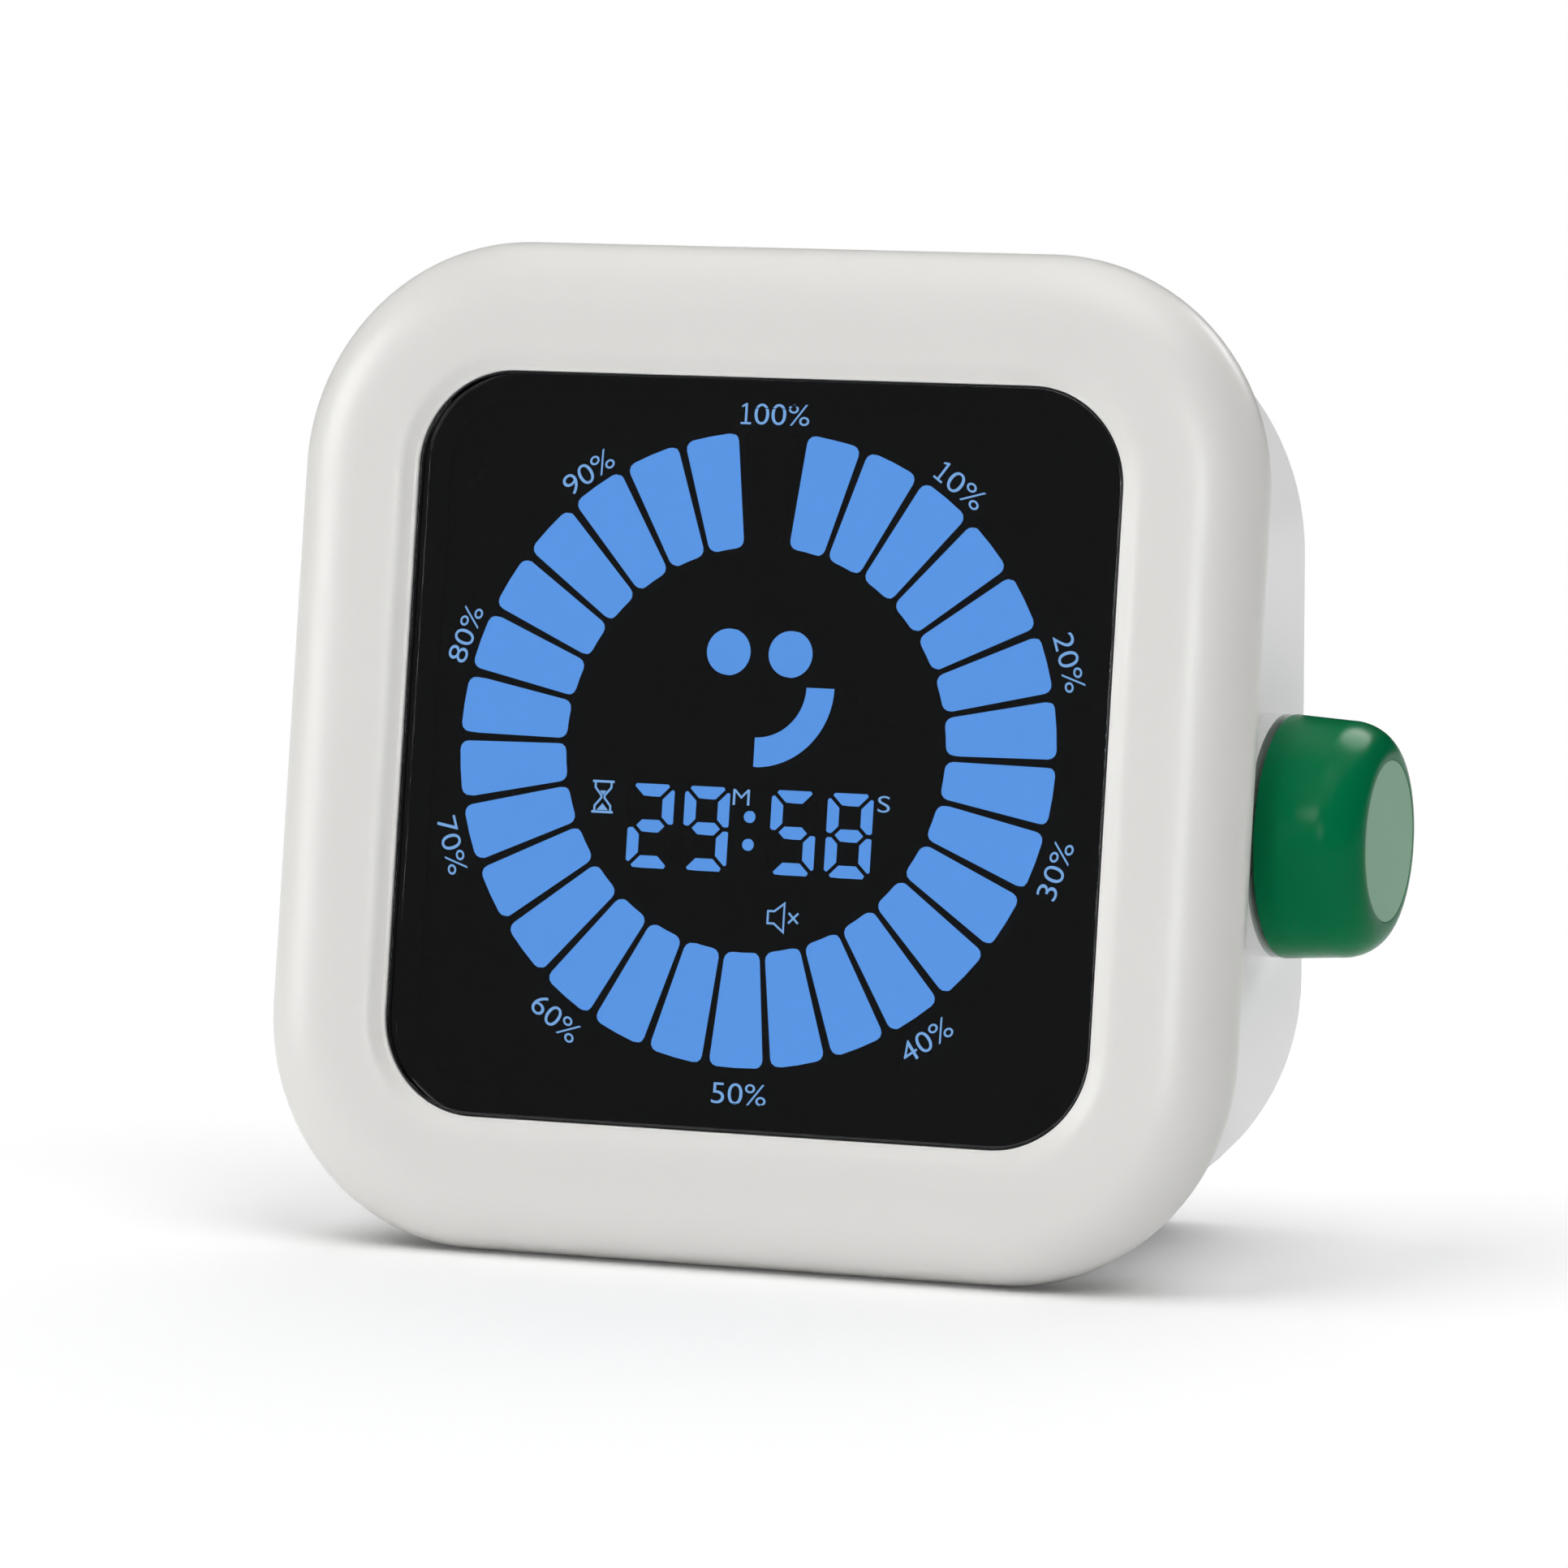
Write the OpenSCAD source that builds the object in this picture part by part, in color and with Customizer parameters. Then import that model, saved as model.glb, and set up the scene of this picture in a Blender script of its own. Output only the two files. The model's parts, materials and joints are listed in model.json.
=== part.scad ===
// Visual countdown timer: a leaning square case with a round-edged front frame, a ring of
// light bars behind a dark window, and a push-and-turn knob on the right-hand side.
// Millimetres. +X is the viewer's right, +Y points to the back, +Z is up.
// The origin is the centre of the rubber foot's underside, on the table.

/* [Front frame] */
// Width of the front frame
frame_w = 84.1; // [82:0.1:90]
// Height of the front frame, measured along its face
frame_h = 83.5; // [82:0.1:90]
// Outer corner radius of the front frame
frame_r = 19.2; // [16:0.1:24]
// How far the face leans back from upright, in degrees
lean = 9.6; // [6:0.1:13]
// Width of the rounded edge, seen from the front
edge_w = 5.9; // [5:0.1:6.5]
// Depth of the rounded edge ahead of its widest line
edge_front = 3.85; // [3.2:0.05:4.5]
// Depth of the rounded edge behind its widest line
edge_rear = 5; // [4:0.1:6]
// How far the face stands proud of the window
window_recess = 0.8; // [0.4:0.1:1.2]
// Width of the sloping lip round the window
lip_w = 1.2; // [0.6:0.1:1.6]
// Wall of the front frame
frame_wall = 2; // [1.6:0.1:2.2]

/* [Window] */
// Width of the window
window_w = 61.4; // [60:0.1:62]
// Height of the window
window_h = 61.5; // [60:0.1:62]
// Corner radius of the window
window_r = 8.1; // [6:0.1:10]
// Thickness of the window
window_t = 1.5; // [1.2:0.1:2]
// Width of the ledge that carries the window
ledge_w = 1.5; // [1.2:0.1:1.8]
// Thickness of the ledge that carries the window
ledge_t = 1.4; // [1:0.1:1.8]

/* [Display module] */
// Thickness of the light box behind the window's ledge
light_box_t = 5.5; // [4.5:0.1:6]
// Thickness of the board that carries the light chips
led_board_t = 1.2; // [0.8:0.1:1.6]
// Gap from the light chip board to the main board, bridged by pins
board_gap = 1.6; // [1.2:0.1:2]
// Number of bars in the ring
bar_count = 30; // [24:2:36]
// Angle of the gap between two bars, in degrees
bar_gap = 1.71; // [1:0.01:2.5]
// Radius of the ring's inside
bar_r_in = 16.6; // [16:0.1:18]
// Radius of the ring's outside
bar_r_out = 26; // [24:0.1:26.5]
// Corner radius of a bar
bar_corner = 0.7; // [0.2:0.05:0.8]
// Height of a digit
digit_h = 6.87; // [6:0.01:7.2]
// Width of a digit
digit_w = 3.92; // [3.4:0.01:4.2]
// Thickness of a stroke in a digit
stroke_t = 0.98; // [0.7:0.01:1.1]
// Gap between two strokes in a digit, square to their mitres
stroke_gap = 0.37; // [0.25:0.01:0.45]

/* [Rear housing] */
// Width of the rear housing
housing_w = 76.4; // [75:0.1:78]
// How much lower the rear housing is than the front frame
height_step = 6; // [4.5:0.1:7.5]
// Corner radius of the rear housing
housing_r = 21; // [18:0.1:23]
// Wall of the rear housing
housing_wall = 2; // [1.6:0.1:2.2]
// Distance from the foot's centre back to the upright rear face
rear_y = 13.8; // [13.2:0.1:16]
// Distance from the foot's centre forward to the window's centre
window_y = 16; // [15.6:0.1:18]
// Rounding of the rear rim
rim_round = 1.2; // [0.8:0.1:1.5]

/* [Knob] */
// Knob radius at its foot
knob_r = 10; // [9:0.1:10]
// Knob radius where its shoulder starts
knob_neck_r = 9.7; // [8.7:0.1:9.7]
// Radius of the pale disc in the knob's end
knob_disc_r = 6.8; // [5.5:0.1:7]
// Length of the knob
knob_len = 8.5; // [8:0.1:10]
// Length of the knob's rounded shoulder
shoulder_len = 3.6; // [2.4:0.1:3.8]
// Height of the knob's axis above the table
knob_z = 34.7; // [33:0.1:36]
// Distance of the knob's axis ahead of the rear face
knob_inset = 11.3; // [11.2:0.1:12]
// How far the collar round the knob stands out of the side
collar_out = 1.5; // [1.2:0.1:2]
// Travel of the knob when pressed
press_travel = 0.5; // [0.3:0.1:0.6]
// Radius of the encoder's shaft
shaft_r = 3; // [2.8:0.1:3]
// Radius of the encoder's threaded bush
bush_r = 3.5; // [3.4:0.1:3.8]

/* [Battery bay] */
// Radius of one cell
cell_r = 5.2; // [5:0.05:5.25]
// Length of one cell without its tip
cell_len = 43.5; // [42:0.1:43.6]
// Spacing of the cells
cell_pitch = 10.9; // [10.7:0.05:11]
// Length of a contact spring under load
spring_len = 4.8; // [4:0.1:5]
// Height of the bay's centre above the table
bay_z = 29.9; // [29.6:0.1:30.4]
// Sideways place of the bay's centre
bay_x = -0.5; // [-1:0.1:0]
// Thickness of the rear cover
cover_t = 2.4; // [2.3:0.1:2.8]
// Thickness of the battery door
door_t = 2.2; // [2:0.1:2.2]

/* [Rear controls] */
// Sideways place of the speaker's centre
speaker_x = -15; // [-16:0.5:-13]
// Where the speaker and the slide switch sit, as a share of the room above the bay
controls_share = 0.48; // [0.46:0.01:0.52]
// Share of the room above the bay that the speaker fills
speaker_share = 0.72; // [0.6:0.01:0.72]
// Sideways place of the slide switch at its first stop
slider_x = 12; // [10:0.5:14]
// Travel of the slide switch
slider_travel = 4; // [3:0.5:5]

/* [Foot] */
// Width of the rubber foot
foot_w = 44; // [30:1:46]
// Depth of the rubber foot
foot_d = 18; // [14:1:19]
// Thickness of the rubber foot
foot_t = 1.2; // [1:0.1:1.5]
// How far the foot stands below the housing
foot_out = 0.4; // [0.3:0.1:0.6]

/* [Hidden] */
$fn = 96;

// Clearances
fit_gap = 0.15;
move_gap = 0.3;
shaft_gap = 0.05;
cell_gap = 0.05;
eps = 0.01;
far = 100;
arc_steps = 8;

// Depths on the face, measured out of it from the window's surface
face_top = window_recess;
side_z = window_recess - edge_front;
bezel_rear = side_z - edge_rear;
ledge_top = -window_t;
ledge_bottom = ledge_top - ledge_t;
box_bottom = ledge_bottom - light_box_t;
led_bottom = box_bottom - led_board_t;
board_top = led_bottom - board_gap;
board_t = 1.6;
board_bottom = board_top - board_t;
film_t = 0.15;
insert_t = 2;
box_top = ledge_top - film_t;

// The frame's lowest line touches the table
edge_drop = edge_w * cos(lean);
rear_drop = edge_rear * sin(lean);
window_z = (frame_h / 2 - edge_w) * cos(lean) - side_z * sin(lean)
  + sqrt(edge_drop * edge_drop + rear_drop * rear_drop);

// Rear housing
housing_h = frame_h - height_step;
housing_z = foot_out + housing_h / 2;
lap = frame_wall * 2.2;
seat_wall = 2;
inner_w = housing_w - 2 * housing_wall;
inner_h = housing_h - 2 * housing_wall;
inner_r = housing_r - housing_wall;
seat_w = 1.2;
side_x = housing_w / 2;
inside_x = side_x - housing_wall;
cover_y = rear_y - cover_t;
post_angle = 52;
post_r = 3;
post_len = 9;
post_bite = 0.5;
post_d = inner_r - post_r + post_bite;
post_x = side_x - housing_r + post_d * cos(post_angle);
post_z = housing_h / 2 - housing_r + post_d * sin(post_angle);
screw_r = 0.95;
screw_hole_r = 1;
screw_free_r = 1.2;
screw_head_r = 1.9;
screw_head_t = 1.2;
screw_len = 7;
notch_w = 2.4;
notch_deep = 1.2;
notch_y = 1.5;

// Clips that hold the front frame in the rear housing, one on each side
clip_w = 8;
clip_t = 1.1;
clip_len = 9;
nib_w = 6;
nib_len = 1.6;
nib_out = 1;
nib_back = 0.4;
clip_sides = [[1, 0], [-1, 0], [0, 1], [0, -1]];

// Bars and digits
ring_y = 0.53;
bar_half = 180 / bar_count - bar_gap / 2;
digit_places = [-8.73, -3.85, 3.76, 8.64];
digit_y = -6.12;
stroke_nip = 0.46;
stroke_chip = 0.14;
// Strokes in the order top, upper right, lower right, bottom, lower left, upper left, middle
digit_lit = [[1, 1, 0, 1, 1, 0, 1], [1, 1, 1, 1, 0, 1, 1], [1, 0, 1, 1, 0, 1, 1], [1, 1, 1, 1, 1, 1, 1]];
colon_x = -0.07;
colon_y = [-4.99, -7.27];
colon_r = 0.48;
eye_x = [-2.76, 2.65];
eye_y = 8.41;
eye_r = 1.89;
mouth_y = 5.74;
mouth_r_out = 6.62;
mouth_r_in = 4.24;

// Light box, boards and their screws
film_w = window_w - 2 * ledge_w - 2 * fit_gap;
film_h = window_h - 2 * ledge_w - 2 * fit_gap;
box_inset = 0.5;
light_box_w = window_w - 2 * box_inset;
light_box_h = window_h - 2 * box_inset;
light_chip = [1, 0.7, 0.6];
board_w = 70;
board_h = 54;
board_r = 12;
board_post_x = 33.2;
board_post_y = 14;
board_post_r = 1.9;
board_screw_r = 0.8;
board_screw_head_r = 1.6;
board_screw_head_t = 1;
board_screw_len = board_t + 5;
pin_rows_x = 27.5;
pin_pitch = 2.54;
pin_count = 10;
pin_r = 0.3;

// Knob and encoder, measured along +X
knob_y = rear_y - knob_inset;
collar_x = side_x + collar_out;
knob_gap = press_travel + 0.1;
knob_x = collar_x + knob_gap;
knob_end = knob_x + knob_len;
disc_t = 0.8;
disc_rim = 0.15;
knob_wall = 1.8;
knob_bevel = 0.2;
nut_room_r = 7.4;
hub_r = 5;
hub_in = 2.9;
hub_x = knob_x + hub_in;
nut_af = 10;
nut_t = 1.8;
bush_out = 1.4;
bush_end = side_x + nut_t + bush_out;
encoder_deep = 6.4;
encoder_h = 12.5;
encoder_w = 11;
encoder_x = inside_x - encoder_deep;
encoder_board_t = 1.2;
encoder_board_x = encoder_x - encoder_board_t;
encoder_board_h = 13;
well_deep = 2;
well_floor = 0.4;
shaft_x = encoder_x + well_deep;
rod_t = 0.9;
rod_r = 2;
d_flat = 0.6;
shaft_short = 1;
shaft_end = knob_end - disc_t - shaft_short;

// Battery bay
plate_t = 0.4;
tip_len = 1;
tip_r = 1.9;
bay_w = cell_len + tip_len + spring_len + 2 * plate_t;
bay_margin = 0.4;
bay_h = 2 * cell_pitch + 2 * cell_r + 2 * bay_margin;
bay_wall = 1.8;
bay_floor_t = 1.2;
bay_top = bay_z + bay_h / 2 + bay_wall;
cell_y = rear_y - door_t - move_gap - cell_r;
bay_floor_y = cell_y - cell_r - move_gap;
door_lap = 1.4;
door_w = bay_w + 2 * door_lap - 2 * move_gap;
door_h = bay_h + 2 * door_lap - 2 * move_gap;
door_low = bay_z - door_h / 2;
hinge_y = rear_y - door_t / 2;
hinge_z = door_low + door_t / 2;
pivot_r = 0.6;
pivot_hole_r = 0.65;
pivot_len = 0.9;
pivot_hole_len = 1.1;
grip_w = 12;
grip_r = 5;
grip_deep = 1.2;
tongue_w = 8;
tongue_t = 1;
tongue_len = 1.8;
contact_w = 8;
coil_base_r = 3.6;
coil_tip_r = 2;

// Parts on the back of the main board: their lower row clears the battery bay
part_clear = 3;
part_t = 1.4;
part_row = (bay_top + part_clear - window_z - (board_bottom - part_t) * sin(lean)) / cos(lean);
row_step = 8.5;
can_r = 1.6;
can_len = 8;
cap_r = 2.5;
cap_t = 5.4;
// Chips as shares of the board: place across, width, height
chips = [[-0.115, 0.1, 0.13], [0.1, 0.143, 0.074], [-0.285, 0.07, 0.074]];
amplifier = [0.085, 0.093];
can_place = -0.285;
cap_places = [0.236, 0.314];

// Speaker and slide switch
above_bay = housing_z + inner_h / 2 - bay_top;
controls_z = bay_top + controls_share * above_bay;
speaker_r = speaker_share * above_bay / 2;
speaker_ring_t = 1.2;
speaker_ring_len = 2.6;
basket_t = 2.6;
basket_wall = 1;
basket_floor = 0.6;
cone_t = 0.3;
magnet_r = speaker_r / 2;
magnet_t = 2;
sound_hole_r = 0.6;
sound_pitch = 2.6;
slider_w = 3.2;
slider_h = 2.4;
slot_w = slider_w + slider_travel + 2 * move_gap;
slot_h = slider_h + 2 * move_gap;
slot_mid_x = slider_x + slider_travel / 2;
switch_wall = 1.2;
switch_w = slot_w + 2 * switch_wall;
switch_h = slot_h + 2 * switch_wall;
switch_t = 3.6;
switch_room = 1.8;
finger_recess = 0.8;
finger_margin = 1.5;
finger_r = 2;

// Rounded rectangle centred on the origin
module round_rect(w, h, r) {
  square([w - 2 * r, h], center = true);
  square([w, h - 2 * r], center = true);
  for (sx = [-1, 1], sy = [-1, 1])
    translate([sx * (w / 2 - r), sy * (h / 2 - r)]) circle(r);
}

// Flat-topped plate with a rounded-rectangle outline, from z = low to z = high
module plate(w, h, r, low, high) {
  translate([0, 0, low]) linear_extrude(high - low) round_rect(w, h, r);
}

// Carries a profile round a rounded rectangle: the profile's x runs outward, its y along z
module frame_sweep(w, h, r) {
  for (q = [0 : 3]) {
    along = q % 2 == 0 ? h : w;
    across = q % 2 == 0 ? w : h;
    rotate([0, 0, 90 * q]) {
      translate([across / 2, along / 2 - r, 0]) rotate([90, 0, 0])
        linear_extrude(along - 2 * r) children();
      translate([across / 2 - r, along / 2 - r, 0])
        rotate_extrude(angle = 90) translate([r, 0]) children();
    }
  }
}

// Puts children on the leaning face: x to the right, y up the face, z out of it
module on_face() {
  translate([0, -window_y, window_z]) rotate([90 - lean, 0, 0]) children();
}

// Everything more than d behind the window's surface
module behind_face(d) {
  on_face() translate([-far, -far, -2 * far - d]) cube([2 * far, 2 * far, 2 * far]);
}

// Upright slab whose outline is drawn in x and z, reaching forward from y = y_back
module slab(y_back, depth) {
  translate([0, y_back, 0]) rotate([90, 0, 0]) linear_extrude(depth) children();
}

// Puts children on the knob's axis, with their z along +X from x = x0
module on_knob_axis(x0) {
  translate([x0, knob_y, knob_z]) rotate([0, 90, 0]) children();
}

// Section of the round edge: a quarter oval in front of the widest line and one behind it
function edge_points(w, front, rear, mid) = concat(
  [[-1, mid + front]],
  [for (i = [0 : arc_steps]) let (a = 90 * i / arc_steps) [w * sin(a), mid + front * cos(a)]],
  [for (i = [1 : arc_steps]) let (a = 90 * i / arc_steps) [w * cos(a), mid - rear * sin(a)]],
  [[-1, mid - rear]]
);

// Solid with the frame's outer form, shrunk by t on every side
module frame_solid(t) {
  w = frame_w - 2 * edge_w;
  h = frame_h - 2 * edge_w;
  r = frame_r - edge_w;
  plate(w, h, r, side_z - edge_rear + t, face_top - t);
  frame_sweep(w, h, r) polygon(edge_points(edge_w - t, edge_front - t, edge_rear - t, side_z));
}

// Outline of the rear housing in x and z, grown by g
module housing_outline(g) {
  translate([0, housing_z]) round_rect(housing_w + 2 * g, housing_h + 2 * g, housing_r + g);
}

// Y of the window's plane at height z
function plane_y(z) = -window_y + (z - window_z) * tan(lean);

// Centre of the clip on side d, flush with the housing's inside less its clearance
function clip_spot(d) = let (z = housing_z + d[1] * (inner_h / 2 - fit_gap - clip_t / 2))
  [d[0] * (inner_w / 2 - fit_gap - clip_t / 2), plane_y(z) + move_gap, z];

// Springy clip on side d
module clip(d) {
  size = d[0] == 0 ? [clip_w, clip_len, clip_t] : [clip_t, clip_len, clip_w];
  translate(clip_spot(d) + [0, clip_len / 2, 0]) cube(size, center = true);
}

// Nib at the clip's end, grown by g
module nib(d, g) {
  across = nib_w + 2 * g;
  along = nib_len + 2 * g;
  out = nib_out + clip_t / 2 + fit_gap + g;
  size = d[0] == 0 ? [across, along, out] : [out, along, across];
  spot = clip_spot(d) + [d[0] * out / 2, clip_len - nib_len / 2 - nib_back, d[1] * out / 2];
  translate(spot) cube(size, center = true);
}

// Front frame: a hollow round-edged moulding with the window's seat and the board's posts
module front_bezel() {
  pocket_w = window_w + 2 * cell_gap;
  pocket_h = window_h + 2 * cell_gap;
  lip = [[-1, 0], [0, 0], [lip_w, face_top], [lip_w, face_top + 1], [-1, face_top + 1]];
  color("whitesmoke") for (d = clip_sides) {
    clip(d);
    nib(d, 0);
  }
  color("whitesmoke") difference() {
    on_face() difference() {
      union() {
        difference() {
          frame_solid(0);
          frame_solid(frame_wall);
        }
        plate(window_w + 2 * seat_wall, window_h + 2 * seat_wall, window_r + seat_wall,
              ledge_bottom, face_top - eps);
        for (sx = [-1, 1], sy = [-1, 1])
          translate([sx * board_post_x, sy * board_post_y, board_top])
            cylinder(r = board_post_r, h = face_top - frame_wall - board_top + eps);
      }
      plate(pocket_w, pocket_h, window_r + cell_gap, ledge_top, face_top + 1);
      plate(window_w - 2 * ledge_w, window_h - 2 * ledge_w, window_r - ledge_w,
            ledge_bottom - 1, ledge_top + eps);
      frame_sweep(window_w, window_h, window_r) polygon(lip);
      for (sx = [-1, 1], sy = [-1, 1])
        translate([sx * board_post_x, sy * board_post_y, board_top - 1])
          cylinder(r = board_screw_r + shaft_gap, h = board_screw_len - board_t + 2);
    }
    intersection() {
      difference() {
        slab(rear_y, far) housing_outline(fit_gap);
        slab(rear_y + 1, far + 2) housing_outline(-housing_wall - fit_gap);
      }
      behind_face(lap - fit_gap);
    }
    intersection() {
      slab(rear_y, far) housing_outline(-housing_wall);
      behind_face(lap - eps);
      on_face() difference() {
        plate(frame_w, frame_h, frame_r, bezel_rear - 1, ledge_bottom);
        for (sx = [-1, 1], sy = [-1, 1])
          translate([sx * board_post_x, sy * board_post_y, board_top - 1])
            cylinder(r = board_post_r, h = far);
      }
    }
  }
}

// Smoked window that drops into the frame's seat
module display_window() {
  color("black", 0.6) on_face() plate(window_w, window_h, window_r, ledge_top, 0);
}

// Thin film that spreads the light over the cells
module diffuser_film() {
  color("dimgray") on_face()
    plate(film_w, film_h, window_r - ledge_w - fit_gap, box_top, ledge_top);
}

// Points of a rounded corner about c, from angle a0 to a1
function corner(c, r, a0, a1) = [
  for (i = [0 : 3]) let (a = a0 + (a1 - a0) * i / 3) [c[0] + r * cos(a), c[1] + r * sin(a)]
];

// Outline of one bar of the ring, pointing along +y, grown by g
module bar_outline(g) {
  half = bar_half + g / bar_r_in * 180 / PI;
  r0 = bar_r_in - g;
  r1 = bar_r_out + g;
  c = bar_corner;
  out_turn = asin(c / (r1 - c));
  in_turn = asin(c / (r0 + c));
  out_a = 90 - half + out_turn;
  in_a = 90 - half + in_turn;
  out_c = [(r1 - c) * cos(out_a), (r1 - c) * sin(out_a)];
  in_c = [(r0 + c) * cos(in_a), (r0 + c) * sin(in_a)];
  right = concat(corner(in_c, c, in_a - 180, -half), corner(out_c, c, -half, out_a));
  left = [for (i = [len(right) - 1 : -1 : 0]) [-right[i][0], right[i][1]]];
  polygon(concat(right, [[0, r1]], left, [[0, r0]]));
}

// Ring of bars: which = [first, last]
module bars(which, g) {
  translate([0, ring_y])
    for (i = [which[0] : which[1]]) rotate(-i * 360 / bar_count) bar_outline(g);
}

// How far a 45 degree mitre stands back, measured along an edge, on a stroke grown by g
function mitre(g) = (stroke_gap / 2 - g) * sqrt(2);

// Level stroke of a digit: the top one, its mitred ends nipped
module level_stroke(g) {
  top_y = digit_h / 2 + g;
  low_y = digit_h / 2 - stroke_t - g;
  slope = (digit_h - digit_w) / 2 + mitre(g);
  tip_x = digit_w / 2 - stroke_nip + g;
  low_x = low_y - slope;
  polygon([[-tip_x + stroke_chip, top_y], [tip_x - stroke_chip, top_y], [tip_x, tip_x + slope],
           [low_x, low_y], [-low_x, low_y], [-tip_x, tip_x + slope]]);
}

// Upright stroke of a digit: the upper one on the right, mitred to the strokes above and below it
module upright_stroke(g) {
  out_x = digit_w / 2 + g;
  in_x = digit_w / 2 - stroke_t - g;
  top_y = digit_h / 2 - stroke_nip + g;
  low_y = stroke_gap / 2 - g;
  slope = (digit_h - digit_w) / 2 - mitre(g);
  joint_x = (digit_w - stroke_t) / 2 + mitre(g);
  polygon([[out_x, low_y + stroke_chip], [out_x, top_y - stroke_chip], [out_x - stroke_chip, top_y],
           [top_y - slope, top_y], [in_x, in_x + slope], [in_x, joint_x - in_x],
           [joint_x - low_y, low_y], [out_x - stroke_chip, low_y]]);
}

// Middle stroke of a digit, pointed at both ends
module middle_stroke(g) {
  half_t = stroke_t / 2 + g;
  tip_x = (digit_w - stroke_t) / 2 - mitre(g);
  end_x = tip_x - half_t;
  polygon([[-tip_x, 0], [-end_x, half_t], [end_x, half_t],
           [tip_x, 0], [end_x, -half_t], [-end_x, -half_t]]);
}

// One stroke by its number
module stroke(k, g) {
  if (k == 0) level_stroke(g);
  if (k == 1) upright_stroke(g);
  if (k == 2) mirror([0, 1]) upright_stroke(g);
  if (k == 3) mirror([0, 1]) level_stroke(g);
  if (k == 4) mirror([1, 0]) mirror([0, 1]) upright_stroke(g);
  if (k == 5) mirror([1, 0]) upright_stroke(g);
  if (k == 6) middle_stroke(g);
}

// Strokes of all four digits that are lit (lit = 1) or dark (lit = 0)
module digit_outlines(lit, g) {
  for (d = [0 : 3], k = [0 : 6])
    if (digit_lit[d][k] == lit) translate([digit_places[d], digit_y]) stroke(k, g);
}

module colon_outlines(g) {
  for (y = colon_y) translate([colon_x, y]) circle(colon_r + g, $fn = 32);
}

// Two round lights over a quarter arc
module face_outlines(g) {
  for (x = eye_x) translate([x, eye_y]) circle(eye_r + g);
  translate([0, mouth_y]) intersection() {
    difference() {
      circle(mouth_r_out + g);
      circle(mouth_r_in - g);
    }
    translate([-g, -far]) square([far, far + g]);
  }
}

// Thin inserts that fill the cells of the light box, flush with its front
module inserts() {
  on_face() translate([0, 0, box_top - insert_t]) linear_extrude(insert_t) children();
}

// Black box with one open cell for every bar, stroke and dot; its step fills the ledge's opening
module light_box() {
  color("black") on_face() difference() {
    union() {
      plate(light_box_w, light_box_h, window_r - box_inset, box_bottom, ledge_bottom);
      plate(film_w, film_h, window_r - ledge_w - fit_gap, box_bottom, box_top);
    }
    translate([0, 0, box_bottom - 1]) linear_extrude(light_box_t + ledge_t + 2) {
      bars([0, bar_count - 1], cell_gap);
      digit_outlines(1, cell_gap);
      digit_outlines(0, cell_gap);
      colon_outlines(cell_gap);
      face_outlines(cell_gap);
    }
  }
}

module ring_bars() {
  color("cornflowerblue") inserts() bars([1, bar_count - 1], 0);
}

module digit_strokes() {
  color("cornflowerblue") inserts() {
    digit_outlines(1, 0);
    colon_outlines(0);
  }
}

module face_lights() {
  color("cornflowerblue") inserts() face_outlines(0);
}

module unlit_cells() {
  color("dimgray") inserts() {
    bars([0, 0], 0);
    digit_outlines(0, 0);
  }
}

// Board under the light box
module led_board() {
  color("white") on_face()
    plate(light_box_w, light_box_h, window_r - box_inset, led_bottom, box_bottom);
}

// One light chip in every cell
module led_chips() {
  chip = light_chip;
  mouth_mid = (mouth_r_in + mouth_r_out) / 2;
  bar_mid = (bar_r_in + bar_r_out) / 2;
  across = digit_w / 2 - stroke_t / 2;
  up = digit_h / 2 - stroke_t / 2;
  spots = [[0, up], [across, up / 2], [across, -up / 2], [0, -up],
           [-across, -up / 2], [-across, up / 2], [0, 0]];
  color("khaki") on_face() translate([0, 0, box_bottom + chip[2] / 2]) {
    translate([0, ring_y]) for (i = [0 : bar_count - 1])
      rotate(-i * 360 / bar_count) translate([0, bar_mid]) cube(chip, center = true);
    for (d = [0 : 3], p = spots) translate([digit_places[d] + p[0], digit_y + p[1]])
      cube([chip[1], chip[1], chip[2]], center = true);
    for (y = colon_y) translate([colon_x, y]) cube([chip[2], chip[2], chip[2]], center = true);
    for (x = eye_x) translate([x, eye_y]) cube(chip, center = true);
    for (a = [-25, -65]) translate([mouth_mid * cos(a), mouth_y + mouth_mid * sin(a)])
      cube(chip, center = true);
  }
}

// Two rows of pins that carry the light box on the main board
module display_pins() {
  color("gold") on_face() for (sx = [-1, 1], i = [0 : pin_count - 1])
    translate([sx * pin_rows_x, (i - (pin_count - 1) / 2) * pin_pitch, board_top])
      cylinder(r = pin_r, h = board_gap, $fn = 24);
}

// Main board, screwed to the frame's four posts
module main_board() {
  color("darkgreen") on_face() difference() {
    plate(board_w, board_h, board_r, board_bottom, board_top);
    for (sx = [-1, 1], sy = [-1, 1])
      translate([sx * board_post_x, sy * board_post_y, board_bottom - 1])
        cylinder(r = board_screw_r + 0.2, h = board_t + 2);
  }
}

module board_screws() {
  color("silver") on_face() for (sx = [-1, 1], sy = [-1, 1])
    translate([sx * board_post_x, sy * board_post_y, board_bottom]) {
      translate([0, 0, -board_screw_head_t]) cylinder(r = board_screw_head_r, h = board_screw_head_t);
      translate([0, 0, -eps]) cylinder(r = board_screw_r, h = board_screw_len);
    }
}

// Controller, driver and memory chips on the back of the main board
module board_chips() {
  amp_w = amplifier[0] * board_w;
  amp_h = amplifier[1] * board_h;
  color("black") on_face() translate([0, 0, board_bottom - part_t]) {
    for (c = chips) translate([(c[0] - c[1] / 2) * board_w, part_row, 0])
      cube([c[1] * board_w, c[2] * board_h, part_t]);
    translate([-amp_w / 2, amp_h - board_h / 2, 0]) cube([amp_w, amp_h, part_t]);
  }
}

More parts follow.
